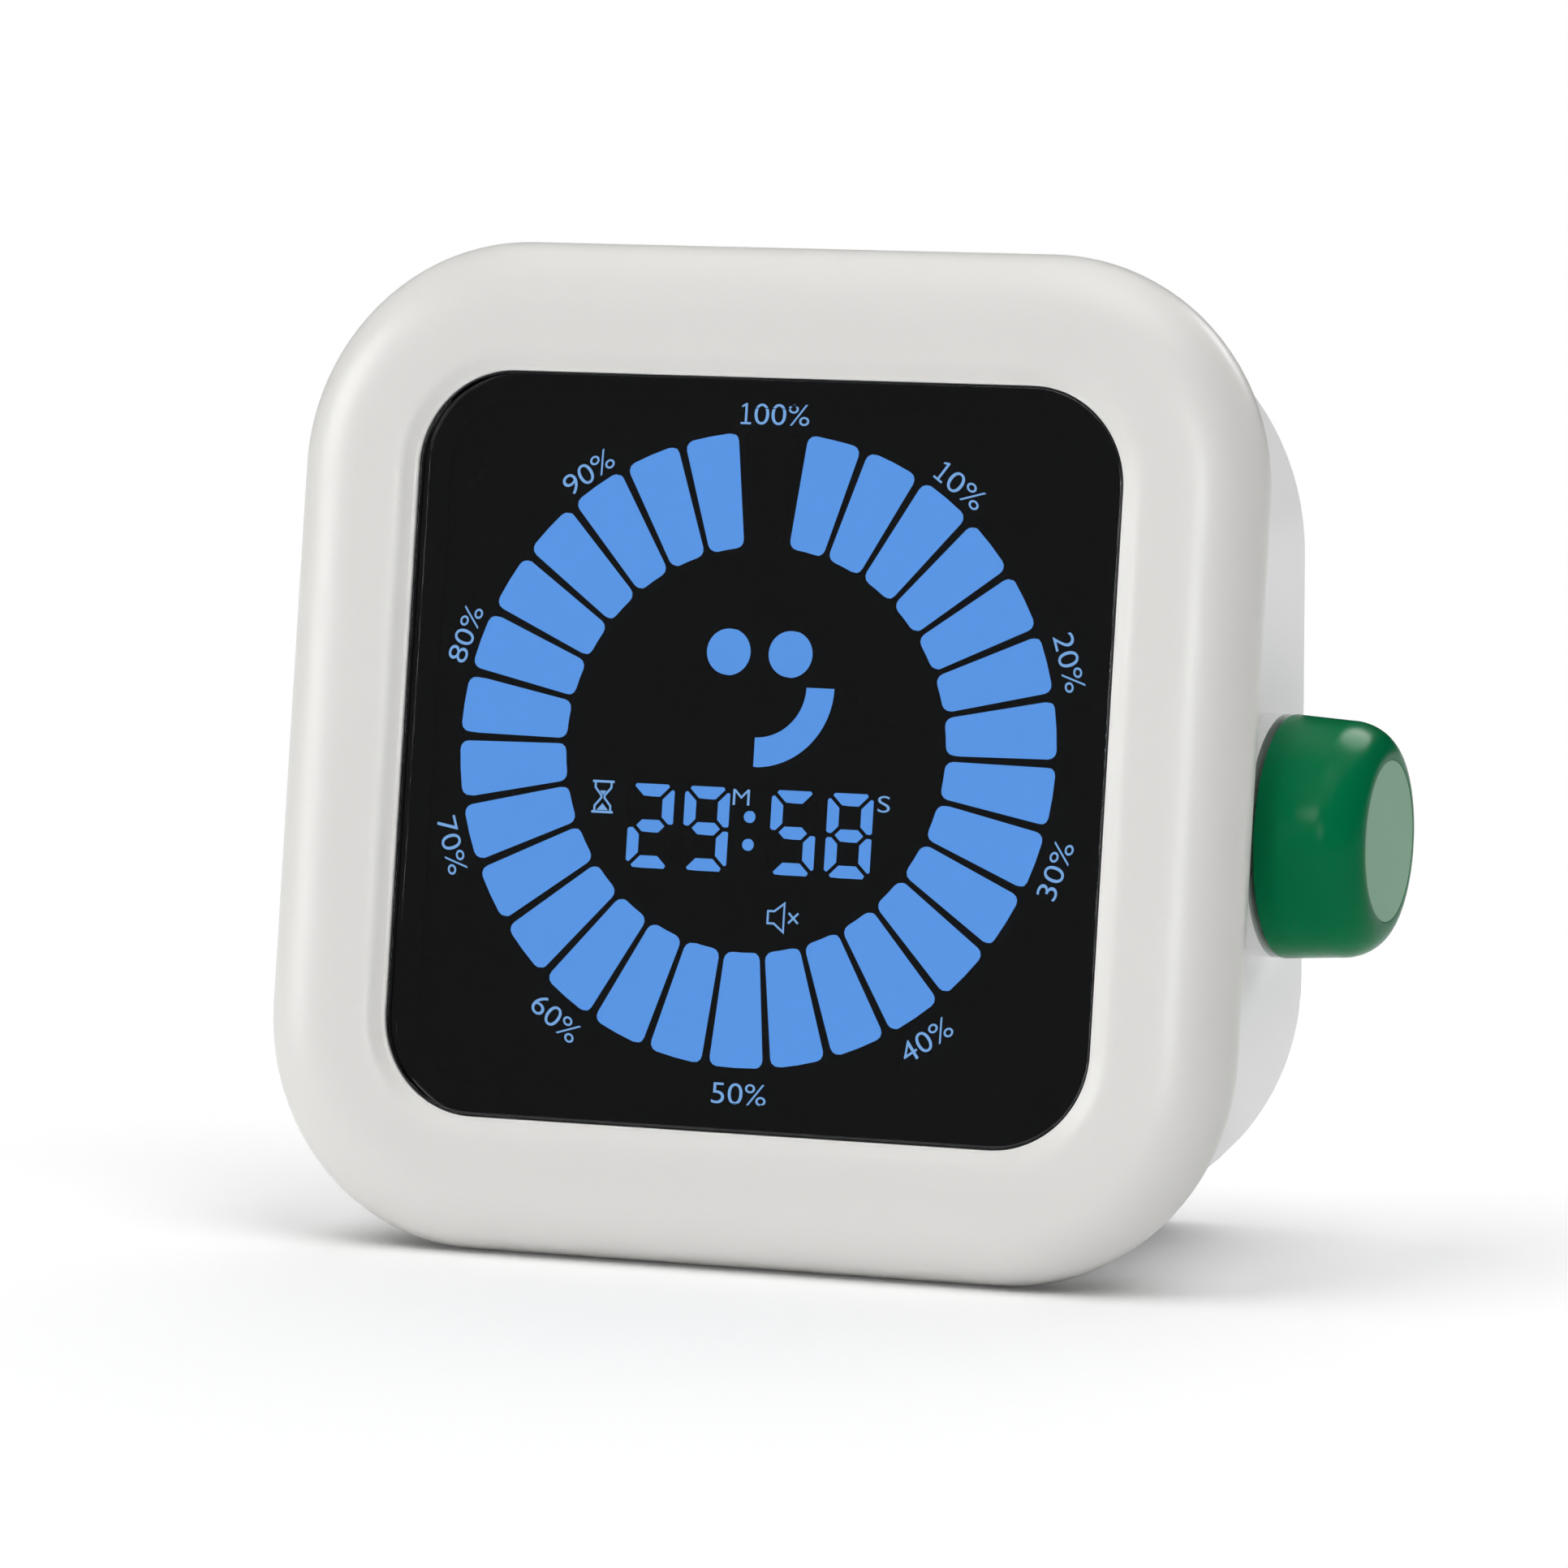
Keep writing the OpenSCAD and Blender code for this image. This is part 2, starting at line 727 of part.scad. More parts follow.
// Quartz can that keeps the time
module quartz_crystal() {
  color("silver") on_face() translate([can_place * board_w, part_row + row_step, board_bottom - can_r])
    rotate([0, 90, 0]) cylinder(r = can_r, h = can_len);
}

module capacitors() {
  color("silver") on_face() for (place = cap_places)
    translate([place * board_w, part_row + row_step, board_bottom - cap_t]) cylinder(r = cap_r, h = cap_t);
}

// Upright rear housing: a deep rounded tube with the knob's collar and the cover's posts
module rear_housing() {
  rim_w = housing_w - 2 * rim_round;
  rim_h = housing_h - 2 * rim_round;
  color("whitesmoke") difference() {
    union() {
      intersection() {
        behind_face(lap);
        union() {
          slab(rear_y - rim_round, far) housing_outline(0);
          slab(rear_y, 2 * rim_round) housing_outline(-rim_round);
          translate([0, rear_y - rim_round, housing_z]) rotate([90, 0, 0])
            frame_sweep(rim_w, rim_h, housing_r - rim_round) circle(rim_round, $fn = 48);
        }
      }
      on_knob_axis(side_x - 1) cylinder(r = knob_r, h = collar_out + 1);
    }
    difference() {
      slab(rear_y + 1, far) housing_outline(-housing_wall);
      slab(cover_y, seat_w) difference() {
        housing_outline(eps - housing_wall);
        housing_outline(-housing_wall - seat_w);
      }
      for (sx = [-1, 1], sz = [-1, 1])
        translate([sx * post_x, cover_y, housing_z + sz * post_z])
          rotate([90, 0, 0]) cylinder(r = post_r, h = post_len);
    }
    for (sx = [-1, 1], sz = [-1, 1])
      translate([sx * post_x, rear_y + 1, housing_z + sz * post_z])
        rotate([90, 0, 0]) cylinder(r = screw_hole_r, h = post_len + cover_t);
    for (d = clip_sides) nib(d, fit_gap);
    on_knob_axis(inside_x - 1) cylinder(r = bush_r + shaft_gap, h = housing_wall + 2);
    on_knob_axis(side_x) cylinder(r = nut_room_r, h = collar_out + 1);
    translate([0, 0, foot_out + (foot_t - foot_out) / 2])
      cube([foot_w + 2 * fit_gap, foot_d + 2 * fit_gap, foot_t - foot_out], center = true);
    translate([side_x - housing_r, rear_y, foot_out + housing_r]) rotate([0, 45, 0])
      translate([housing_r - notch_deep / 2, 0, 0])
        cube([notch_deep, 2 * notch_y, notch_w], center = true);
  }
}

// Rubber foot let into the underside
module rubber_foot() {
  corner_r = 0.5;
  color("gray") linear_extrude(foot_t) round_rect(foot_w, foot_d, corner_r);
}

// Encoder: a square can with a well for the shaft and the push rod
module encoder_body() {
  color("silver") difference() {
    translate([encoder_x, knob_y - encoder_w / 2, knob_z - encoder_h / 2])
      cube([encoder_deep, encoder_w, encoder_h]);
    on_knob_axis(encoder_x + well_floor) cylinder(r = rod_r + shaft_gap, h = encoder_deep);
    on_knob_axis(shaft_x - knob_gap) cylinder(r = shaft_r + shaft_gap, h = encoder_deep + 1);
  }
}

// Threaded bush that clamps the encoder to the side wall
module encoder_bush() {
  color("silver") on_knob_axis(inside_x) difference() {
    cylinder(r = bush_r, h = bush_end - inside_x);
    translate([0, 0, -1]) cylinder(r = shaft_r + shaft_gap, h = bush_end - inside_x + 2);
  }
}

module encoder_nut() {
  color("silver") on_knob_axis(side_x) difference() {
    cylinder(r = nut_af / sqrt(3), h = nut_t, $fn = 6);
    translate([0, 0, -1]) cylinder(r = bush_r + shaft_gap, h = nut_t + 2);
  }
}

module encoder_board() {
  color("darkgreen")
    translate([encoder_board_x, knob_y - encoder_w / 2, knob_z - encoder_board_h / 2])
      cube([encoder_board_t, encoder_w, encoder_board_h]);
}

// Rod between the shaft and the push contact
module push_rod() {
  color("white") on_knob_axis(shaft_x - rod_t) cylinder(r = rod_r, h = rod_t);
}

// Round shaft with a flat for the knob
module knob_shaft() {
  color("silver") difference() {
    on_knob_axis(shaft_x) cylinder(r = shaft_r, h = shaft_end - shaft_x);
    on_knob_axis(hub_x) translate([-shaft_r, shaft_r - d_flat, 0]) cube([2 * shaft_r, 1, far]);
  }
}

// Section of the knob's outside: a slight draft, then a rounded shoulder up to the disc
function knob_points() = concat(
  [[0, 0], [knob_r - knob_bevel, 0], [knob_r, knob_bevel]],
  [for (i = [0 : arc_steps]) let (a = 90 * i / arc_steps)
    [knob_disc_r + (knob_neck_r - knob_disc_r) * cos(a), knob_len - shoulder_len * (1 - sin(a))]],
  [[0, knob_len]]
);

// Knob: a cup with a central hub on the shaft and a pocket for its disc
module knob() {
  hub_low = hub_x - knob_x;
  hub_top = knob_len - disc_t - knob_wall;
  color("seagreen") difference() {
    on_knob_axis(knob_x) difference() {
      rotate_extrude() polygon(knob_points());
      translate([0, 0, -1]) difference() {
        cylinder(r = knob_neck_r - knob_wall, h = hub_top + 1);
        translate([0, 0, 1 + hub_low]) cylinder(r = hub_r, h = hub_top);
      }
      translate([0, 0, knob_len - disc_t]) cylinder(r = knob_disc_r - disc_rim, h = disc_t + 1);
    }
    difference() {
      on_knob_axis(knob_x - 1) cylinder(r = shaft_r + shaft_gap, h = shaft_end - knob_x + 1.2);
      on_knob_axis(hub_x) translate([-shaft_r, shaft_r - d_flat + shaft_gap, -eps])
        cube([2 * shaft_r, 1, shaft_end]);
    }
  }
}

module knob_disc() {
  color("darkseagreen") on_knob_axis(knob_end - disc_t)
    cylinder(r = knob_disc_r - disc_rim - shaft_gap, h = disc_t);
}

// Outline of the bay in x and z, grown by g
module bay_outline(g) {
  translate([bay_x, bay_z]) square([bay_w + 2 * g, bay_h + 2 * g], center = true);
}

// Rear cover: a plate let into the housing's rim, with the battery bay moulded on
module rear_cover() {
  inset = housing_wall + fit_gap;
  recess_w = door_w + 2 * move_gap;
  recess_h = door_h + 2 * move_gap;
  color("whitesmoke") difference() {
    union() {
      slab(rear_y, cover_t) housing_outline(-inset);
      slab(rear_y - door_t, rear_y - door_t - bay_floor_y + bay_floor_t) bay_outline(bay_wall);
      translate([speaker_x, cover_y + eps, controls_z]) rotate([90, 0, 0]) difference() {
        cylinder(r = speaker_r + fit_gap + speaker_ring_t, h = speaker_ring_len);
        translate([0, 0, -1]) cylinder(r = speaker_r + fit_gap, h = speaker_ring_len + 2);
      }
    }
    slab(rear_y + 1, rear_y + 1 - bay_floor_y) bay_outline(0);
    translate([bay_x, rear_y + 1, bay_z]) rotate([90, 0, 0]) linear_extrude(door_t + 1)
      square([recess_w, recess_h], center = true);
    translate([bay_x, hinge_y, hinge_z]) rotate([0, 90, 0])
      cylinder(r = door_t / 2 + move_gap, h = recess_w, center = true);
    for (sx = [-1, 1])
      translate([bay_x + sx * (recess_w / 2 + pivot_hole_len / 2 - eps), hinge_y, hinge_z])
        rotate([0, 90, 0]) cylinder(r = pivot_hole_r, h = pivot_hole_len, center = true);
    translate([bay_x, rear_y + 1, bay_z + recess_h / 2]) rotate([90, 0, 0])
      cylinder(r = grip_r, h = grip_deep + 1);
    for (sx = [-1, 1], sz = [-1, 1])
      translate([sx * post_x, rear_y + 1, housing_z + sz * post_z]) rotate([90, 0, 0]) {
        cylinder(r = screw_free_r, h = cover_t + 2);
        cylinder(r = screw_head_r + 0.2, h = screw_head_t + 1.2);
      }
    translate([speaker_x, rear_y + 1, controls_z]) rotate([90, 0, 0]) {
      cylinder(r = sound_hole_r, h = cover_t + 2);
      for (ring = [1, 2], i = [0 : 6 * ring - 1]) rotate(i * 60 / ring)
        translate([ring * sound_pitch, 0]) cylinder(r = sound_hole_r, h = cover_t + 2);
    }
    slab(rear_y + 1, cover_t + 2)
      translate([slot_mid_x, controls_z]) square([slot_w, slot_h], center = true);
    slab(rear_y + 1, finger_recess + 1) translate([slot_mid_x, controls_z])
      round_rect(slot_w + 2 * finger_margin, slot_h + 2 * finger_margin, finger_r);
  }
}

module cover_screws() {
  color("silver") for (sx = [-1, 1], sz = [-1, 1])
    translate([sx * post_x, rear_y - 0.2, housing_z + sz * post_z]) rotate([90, 0, 0]) {
      cylinder(r = screw_head_r, h = screw_head_t);
      translate([0, 0, screw_head_t - eps]) cylinder(r = screw_r, h = screw_len);
    }
}

// Speaker: basket ring against the cover, cone inside it, magnet behind
module speaker_basket() {
  color("dimgray") translate([speaker_x, cover_y, controls_z]) rotate([90, 0, 0]) difference() {
    cylinder(r = speaker_r, h = basket_t);
    translate([0, 0, -1]) cylinder(r = speaker_r - basket_wall, h = basket_t - basket_floor + 1);
    translate([0, 0, -1]) cylinder(r = magnet_r - 1, h = basket_t + 2);
  }
}

module speaker_cone() {
  rim = speaker_r - basket_wall - shaft_gap;
  roll = speaker_r - 2 * basket_wall;
  throat = speaker_r * 0.36;
  dome = speaker_r * 0.26;
  t = cone_t;
  cone = [[0, 3 * t], [dome, 3 * t], [throat, 5 * t], [roll, 2 * t], [rim, 2 * t],
          [rim, 3 * t], [roll, 3 * t], [throat + t / 2, 6 * t], [dome - t / 2, 4 * t], [0, 4 * t]];
  color("black") translate([speaker_x, cover_y, controls_z]) rotate([90, 0, 0])
    rotate_extrude() polygon(cone);
}

module speaker_magnet() {
  color("silver") translate([speaker_x, cover_y - basket_t, controls_z]) rotate([90, 0, 0])
    cylinder(r = magnet_r, h = magnet_t);
}

// Slide switch behind its slot
module switch_body() {
  color("silver") difference() {
    slab(cover_y, switch_t) translate([slot_mid_x, controls_z]) square([switch_w, switch_h], center = true);
    slab(cover_y + 1, switch_room + 1)
      translate([slot_mid_x, controls_z]) square([slot_w, slot_h], center = true);
  }
}

// Sliding nub with three grip ridges, flush with the rear face
module sound_slider() {
  ridge = 0.4;
  color("dimgray") difference() {
    slab(rear_y - 0.1, cover_t - 0.1 + switch_room - move_gap)
      translate([slider_x, controls_z]) square([slider_w, slider_h], center = true);
    for (i = [-1, 1]) translate([slider_x + i * 2 * ridge, rear_y - 0.1, controls_z])
      cube([ridge, 0.6, slider_h + 1], center = true);
  }
}

// Battery door: a flat plate with a rolled lower edge, two pivots and a friction tongue
module battery_door() {
  color("whitesmoke") {
    translate([bay_x, 0, 0]) {
      slab(rear_y, door_t) translate([0, hinge_z + (door_h - door_t / 2) / 2])
        square([door_w, door_h - door_t / 2], center = true);
      translate([0, hinge_y, hinge_z]) rotate([0, 90, 0])
        cylinder(r = door_t / 2, h = door_w, center = true);
      translate([0, hinge_y, hinge_z]) rotate([0, 90, 0])
        cylinder(r = pivot_r, h = door_w + 2 * pivot_len + 2 * move_gap, center = true);
      slab(rear_y - door_t + eps, tongue_len) translate([0, bay_z + bay_h / 2 - move_gap - tongue_t / 2])
        square([tongue_w, tongue_t], center = true);
    }
  }
}

// One cell: k is its row from the middle, flip turns its tip to the left
module cell(k, flip) {
  body_x = flip ? plate_t + tip_len : plate_t + spring_len;
  translate([bay_x - bay_w / 2, cell_y, bay_z + k * cell_pitch]) rotate([0, 90, 0]) {
    translate([0, 0, body_x]) cylinder(r = cell_r, h = cell_len);
    translate([0, 0, flip ? body_x - tip_len : body_x + cell_len - eps])
      cylinder(r = tip_r, h = tip_len + eps);
  }
}

module cell_upper() {
  color("slategray") cell(1, false);
}

module cell_middle() {
  color("slategray") cell(0, true);
}

module cell_lower() {
  color("slategray") cell(-1, false);
}

// Spring and tip plates on the bay's two end walls
module contact_plates() {
  color("silver") for (k = [-1 : 1], sx = [-1, 1])
    translate([bay_x + sx * (bay_w / 2 - plate_t / 2), cell_y, bay_z + k * cell_pitch])
      cube([plate_t, contact_w, contact_w], center = true);
}

// Tapered coil spring along +z: centreline and one ring of its wire
spring_turns = 4;
spring_wire = 0.3;
spring_sides = 6;
spring_rings = 48;
function coil_r(u) = coil_base_r + (coil_tip_r - coil_base_r) * u;
function coil_point(u, s) = let (
    a = 360 * spring_turns * u,
    b = 360 * s / spring_sides,
    r = coil_r(u) + spring_wire * cos(b)
  ) [r * cos(a), r * sin(a), spring_wire + (spring_len - 2 * spring_wire) * u + spring_wire * sin(b)];

module coil_spring() {
  n = spring_rings;
  m = spring_sides;
  points = [for (i = [0 : n], s = [0 : m - 1]) coil_point(i / n, s)];
  sides = [for (i = [0 : n - 1], s = [0 : m - 1])
    [i * m + s, i * m + (s + 1) % m, (i + 1) * m + (s + 1) % m, (i + 1) * m + s]];
  ends = [[for (s = [m - 1 : -1 : 0]) s], [for (s = [0 : m - 1]) n * m + s]];
  polyhedron(points, concat(sides, ends));
}

module contact_springs() {
  color("gold") for (k = [-1 : 1])
    translate([bay_x + (k == 0 ? 1 : -1) * (bay_w / 2 - plate_t), cell_y, bay_z + k * cell_pitch])
      rotate([0, k == 0 ? -90 : 90, 0]) coil_spring();
}

front_bezel();
display_window();
diffuser_film();
light_box();
ring_bars();
digit_strokes();
face_lights();
unlit_cells();
led_board();
led_chips();
display_pins();
main_board();
board_screws();
board_chips();
quartz_crystal();
capacitors();
rear_housing();
rubber_foot();
encoder_body();
encoder_bush();
encoder_nut();
encoder_board();
push_rod();
knob_shaft();
knob();
knob_disc();
rear_cover();
cover_screws();
speaker_basket();
speaker_magnet();
speaker_cone();
switch_body();
sound_slider();
battery_door();
cell_upper();
cell_middle();
cell_lower();
contact_plates();
contact_springs();
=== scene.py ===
import math

import bmesh
import bpy
import numpy as np
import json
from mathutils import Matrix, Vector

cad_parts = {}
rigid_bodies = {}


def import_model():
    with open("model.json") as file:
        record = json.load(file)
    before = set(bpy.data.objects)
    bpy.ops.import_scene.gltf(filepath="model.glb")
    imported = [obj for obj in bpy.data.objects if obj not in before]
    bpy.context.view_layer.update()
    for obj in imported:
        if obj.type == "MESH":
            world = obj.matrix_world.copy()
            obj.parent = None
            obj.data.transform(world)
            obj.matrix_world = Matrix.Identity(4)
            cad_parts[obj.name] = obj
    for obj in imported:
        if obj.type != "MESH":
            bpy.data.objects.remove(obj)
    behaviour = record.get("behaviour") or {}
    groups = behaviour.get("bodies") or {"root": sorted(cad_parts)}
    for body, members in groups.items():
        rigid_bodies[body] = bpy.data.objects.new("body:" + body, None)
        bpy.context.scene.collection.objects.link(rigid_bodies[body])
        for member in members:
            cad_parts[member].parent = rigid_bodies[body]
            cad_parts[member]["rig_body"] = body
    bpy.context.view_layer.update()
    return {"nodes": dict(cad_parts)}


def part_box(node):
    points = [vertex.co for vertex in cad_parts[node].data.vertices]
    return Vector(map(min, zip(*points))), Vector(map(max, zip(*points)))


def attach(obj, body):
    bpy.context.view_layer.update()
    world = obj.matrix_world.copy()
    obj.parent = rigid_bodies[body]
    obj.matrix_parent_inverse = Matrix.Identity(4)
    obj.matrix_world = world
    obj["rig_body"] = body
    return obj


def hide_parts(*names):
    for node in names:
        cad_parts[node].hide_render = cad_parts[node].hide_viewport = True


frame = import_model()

nodes = frame["nodes"]

# ---------------------------------------------------------------------------------------------
# Front frame: one satin white ABS moulding. Its face leans back, its edge is rolled like a
# pillow's, and a sloping lip runs down to the window. It clips over the rear housing's rim.
# ---------------------------------------------------------------------------------------------
MM = 0.001
LEAN = math.radians(9.6)
RIGHT = np.array([1.0, 0.0, 0.0])
UP_FACE = np.array([0.0, math.sin(LEAN), math.cos(LEAN)])
OUT_FACE = np.array([0.0, -math.cos(LEAN), math.sin(LEAN)])
WINDOW_T = 1.5
window_low, window_high = (np.array(corner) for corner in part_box("display_window"))
WINDOW_MIDDLE = (window_low + window_high) / 2 + OUT_FACE * (WINDOW_T * MM) / 2

# Rounded squares on the face: half width, half height and corner radius, in mm
WINDOW_SQUARE = np.array([30.7, 30.75, 8.1])
FRAME_SQUARE = np.array([42.05, 41.75, 19.2])
FRAME_CORNER = FRAME_SQUARE[2]
EDGE_W, EDGE_FRONT, EDGE_REAR, EDGE_STEPS = 5.9, 3.85, 5.0, 28
FACE_TOP, FACE_BACK, LEDGE_W, LEDGE_T = 0.8, -1.2, 1.5, 1.4
FRAME_WALL, SEAT_WALL, REAR_STEP = 2.4, 2.0, 1.2
WIDEST_Z = FACE_TOP - EDGE_FRONT
HOUSING_HALF_W, HOUSING_CORNER, FIT_GAP = 38.2, 21.0, 0.15
housing_low, housing_high = (np.array(corner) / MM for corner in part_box("rear_housing"))
HOUSING_MIDDLE_Z = (housing_low[2] + housing_high[2]) / 2
HOUSING_HALF_H = (housing_high[2] - housing_low[2]) / 2


def on_face(x, y, z):
    """Points on the leaning face, as metres in the frame.

    In mm from the window's middle, x goes to the right, y up the face and z out of it.
    """
    x, y, z = (part[..., None] for part in np.broadcast_arrays(x, y, z))
    return WINDOW_MIDDLE + MM * (x * RIGHT + y * UP_FACE + z * OUT_FACE)


def round_squares(half_w, half_h, radius, corner_steps=24, side_steps=10):
    """One closed outline per row: four quarter circles of that radius joined by straights.

    All rows have the same number of points.
    """
    half_w, half_h, radius = (np.atleast_1d(np.asarray(size, float))[:, None]
                              for size in (half_w, half_h, radius))
    turn = np.linspace(0, math.pi / 2, corner_steps + 1)[None]
    along = np.arange(1, side_steps)[None] / side_steps
    arcs = []
    for corner, (side_x, side_y) in enumerate([(1, 1), (-1, 1), (-1, -1), (1, -1)]):
        angle = turn + corner * math.pi / 2
        arcs.append((side_x * (half_w - radius) + radius * np.cos(angle),
                     side_y * (half_h - radius) + radius * np.sin(angle)))
    xs, ys = [], []
    for corner in range(4):
        (x0, y0), (x1, y1) = arcs[corner], arcs[(corner + 1) % 4]
        xs += [x0, x0[:, -1:] + (x1[:, :1] - x0[:, -1:]) * along]
        ys += [y0, y0[:, -1:] + (y1[:, :1] - y0[:, -1:]) * along]
    return np.concatenate(xs, 1), np.concatenate(ys, 1)


def rings(square, rows):
    """Rounded squares on the face, one for each row (amount the square grows by, height)."""
    grown, height = np.array(rows, float).T
    x, y = round_squares(*(square[:, None] + grown))
    return on_face(x, y, height[:, None])


def skin_faces(rows, cols, wrap_rows):
    """Quads over rows of cols points, where each row closes on itself.

    With wrap_rows, the last row also closes on the first.
    """
    row = np.arange(rows if wrap_rows else rows - 1)[:, None]
    col = np.arange(cols)[None]
    this, ahead = row * cols + col, row * cols + (col + 1) % cols
    above = (row + 1) % rows * cols
    return np.stack([this, ahead, above + (col + 1) % cols, above + col], -1).reshape(-1, 4)


def outward(points, faces):
    """Faces turned round where the closed form's signed volume is negative."""
    total = 0.0
    for face in faces:
        corners = points[np.asarray(face)]
        fan = np.cross(corners[1:-1], corners[2:])
        total += np.einsum("ij,ij->", fan, np.broadcast_to(corners[0], fan.shape))
    return [list(face)[::-1] if total < 0 else list(face) for face in faces]


def piece(name, points, faces, material, body, replaced, slot, crease=35):
    """A mesh object of those points and faces that rides on a body.

    It stands for the solids in replaced, and is smooth but for creases sharper than crease
    degrees.
    """
    points = np.asarray(points).reshape(-1, 3)
    mesh = bpy.data.meshes.new(name)
    mesh.from_pydata(points.tolist(), [], outward(points, faces))
    mesh.validate()
    mesh.shade_smooth()
    mesh.set_sharp_from_angle(angle=math.radians(crease))
    mesh.materials.append(material)
    made = bpy.data.objects.new(name, mesh)
    bpy.context.scene.collection.objects.link(made)
    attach(made, body)
    if replaced:
        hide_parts(*replaced)
    return made


def set_inputs(node, inputs):
    """Sets a shader node's inputs by name or number, and links those that are given a socket."""
    for key, value in inputs.items():
        if isinstance(value, bpy.types.NodeSocket):
            node.id_data.links.new(value, node.inputs[key])
        else:
            node.inputs[key].default_value = value


def add_node(tree, kind, inputs=None, **settings):
    """A new shader node in a tree, with its settings made first and then its inputs."""
    made = tree.nodes.new("ShaderNode" + kind)
    for key, value in settings.items():
        setattr(made, key, value)
    set_inputs(made, inputs or {})
    return made


def new_material(name, inputs):
    """A new material and its Principled shader, with those of the shader's inputs set."""
    made = bpy.data.materials.new(name)
    made.use_nodes = True
    shader = made.node_tree.nodes["Principled BSDF"]
    set_inputs(shader, inputs)
    return made, shader


def own_noise(tree, scale, detail=2.0):
    """Noise that keeps to its piece, as it is read at the piece's own coordinates."""
    place = add_node(tree, "TexCoord").outputs["Object"]
    inputs = {"Vector": place, "Scale": scale, "Detail": detail}
    return add_node(tree, "TexNoise", inputs).outputs["Fac"]


SKIN_INPUTS = ("Drift", "Gloss", "Gloss drift", "Grains per metre", "Grain depth", "Rubbed",
               "Painted highlight")
DRIFT_SCALE, SMEAR_SCALE = 45, 120
SHARP_FROM, SHARP_TO = 0.515, 0.6


def moulded_skin():
    """Group for the skin of a moulding.

    It has slow drifts of colour and gloss, a fine spark-eroded grain, rubbed edges, and a painted
    highlight, lighter and glossier, wherever a piece carries a map of one.
    """
    group = bpy.data.node_groups.new("moulded_skin", "ShaderNodeTree")
    new_socket = group.interface.new_socket
    new_socket("Colour", in_out="INPUT", socket_type="NodeSocketColor")
    for name in SKIN_INPUTS:
        new_socket(name, in_out="INPUT", socket_type="NodeSocketFloat")
    new_socket("Colour", in_out="OUTPUT", socket_type="NodeSocketColor")
    new_socket("Roughness", in_out="OUTPUT", socket_type="NodeSocketFloat")
    new_socket("Normal", in_out="OUTPUT", socket_type="NodeSocketVector")
    given = group.nodes.new("NodeGroupInput").outputs

    def maths(operation, *values):
        """Result of one step of maths on numbers and sockets."""
        return add_node(group, "Math", dict(enumerate(values)), operation=operation).outputs[0]

    def add(first, second):
        """Sum of two numbers or sockets."""
        return maths("ADD", first, second)

    def times(first, second):
        """Product of two numbers or sockets."""
        return maths("MULTIPLY", first, second)

    def swing(noise):
        """Noise as a value that swings round zero."""
        return maths("SUBTRACT", noise, 0.5)

    drift = times(swing(own_noise(group, DRIFT_SCALE, 3)), given["Drift"])
    grain = own_noise(group, given["Grains per metre"], 2)
    fleck = times(swing(grain), times(given["Drift"], 0.5))
    edge = add_node(group, "MapRange", {
        "Value": add_node(group, "NewGeometry").outputs["Pointiness"],
        "From Min": SHARP_FROM, "From Max": SHARP_TO})
    # Rubbed edges are wear found from pointiness. The last input adds a painted highlight from a
    # map that the piece carries. Both lighten the colour and lower the roughness.
    rubbed = add(times(edge.outputs[0], given["Rubbed"]), given["Painted highlight"])
    level = add(1.0, add(times(add(drift, fleck), 2.0), times(rubbed, 0.05)))
    tone = add_node(group, "VectorMath", {0: given["Colour"], "Scale": level}, operation="SCALE")
    smear = times(swing(own_noise(group, SMEAR_SCALE, 4)), given["Gloss drift"])
    rough = add(given["Gloss"], maths("SUBTRACT", times(smear, 2.0), times(rubbed, 0.1)))
    bump = add_node(group, "Bump", {
        "Strength": 1.0, "Distance": given["Grain depth"], "Height": grain})
    set_inputs(group.nodes.new("NodeGroupOutput"), {
        "Colour": tone.outputs[0], "Roughness": rough, "Normal": bump.outputs[0]})
    return group


skin_group = moulded_skin()


def moulded(name, colour, gloss=0.4, drift=0.02, gloss_drift=0.05, grains=4000,
            grain_depth=0.000006, rubbed=0.2, metallic=0.0, specular=0.5):
    """A material whose colour, roughness and normal come from the moulded skin."""
    made, shader = new_material(name, {"Metallic": metallic, "Specular IOR Level": specular})
    skin = add_node(made.node_tree, "Group", {
        "Colour": (*colour, 1), "Drift": drift, "Gloss": gloss, "Gloss drift": gloss_drift,
        "Grains per metre": grains, "Grain depth": grain_depth, "Rubbed": rubbed},
        node_tree=skin_group)
    set_inputs(shader, {"Base Color": skin.outputs["Colour"],
                        "Roughness": skin.outputs["Roughness"],
                        "Normal": skin.outputs["Normal"]})
    return made


def skin_of(material):
    """The moulded skin's node in a material."""
    return next(node for node in material.node_tree.nodes if node.type == "GROUP")


# Amounts the window's square grows by, and heights: the ledge, the lip and the face's start
LEDGE_ROWS = [(-LEDGE_W, -WINDOW_T - LEDGE_T), (-LEDGE_W, -WINDOW_T), (0.06, -WINDOW_T)]
LIP_ROWS = [(0.06, -0.02), (0.09, 0.07), (0.17, 0.12), (0.32, 0.14), (0.42, 0.165), (1.05, 0.5),
            (1.3, 0.61), (1.6, 0.7), (1.95, 0.765), (2.4, FACE_TOP)]
HALVINGS, REAR_ROWS, POINT_LIKE = 40, 15, 1e-6


def edge_behind(turn):
    """Points of the edge behind its widest line, as x, y and z in mm on the face.

    The section there is the other quarter oval. turn is an angle for each point of the outline.
    """
    reach = FRAME_CORNER - EDGE_W + EDGE_W * np.cos(turn)
    x, y = round_squares(*(FRAME_SQUARE - FRAME_CORNER + reach.max()))
    core_x, core_y = round_squares(*(FRAME_SQUARE - FRAME_CORNER + POINT_LIKE))
    part = reach / reach.max()
    return (core_x[0] + (x[0] - core_x[0]) * part, core_y[0] + (y[0] - core_y[0]) * part,
            WIDEST_Z - EDGE_REAR * np.sin(turn))


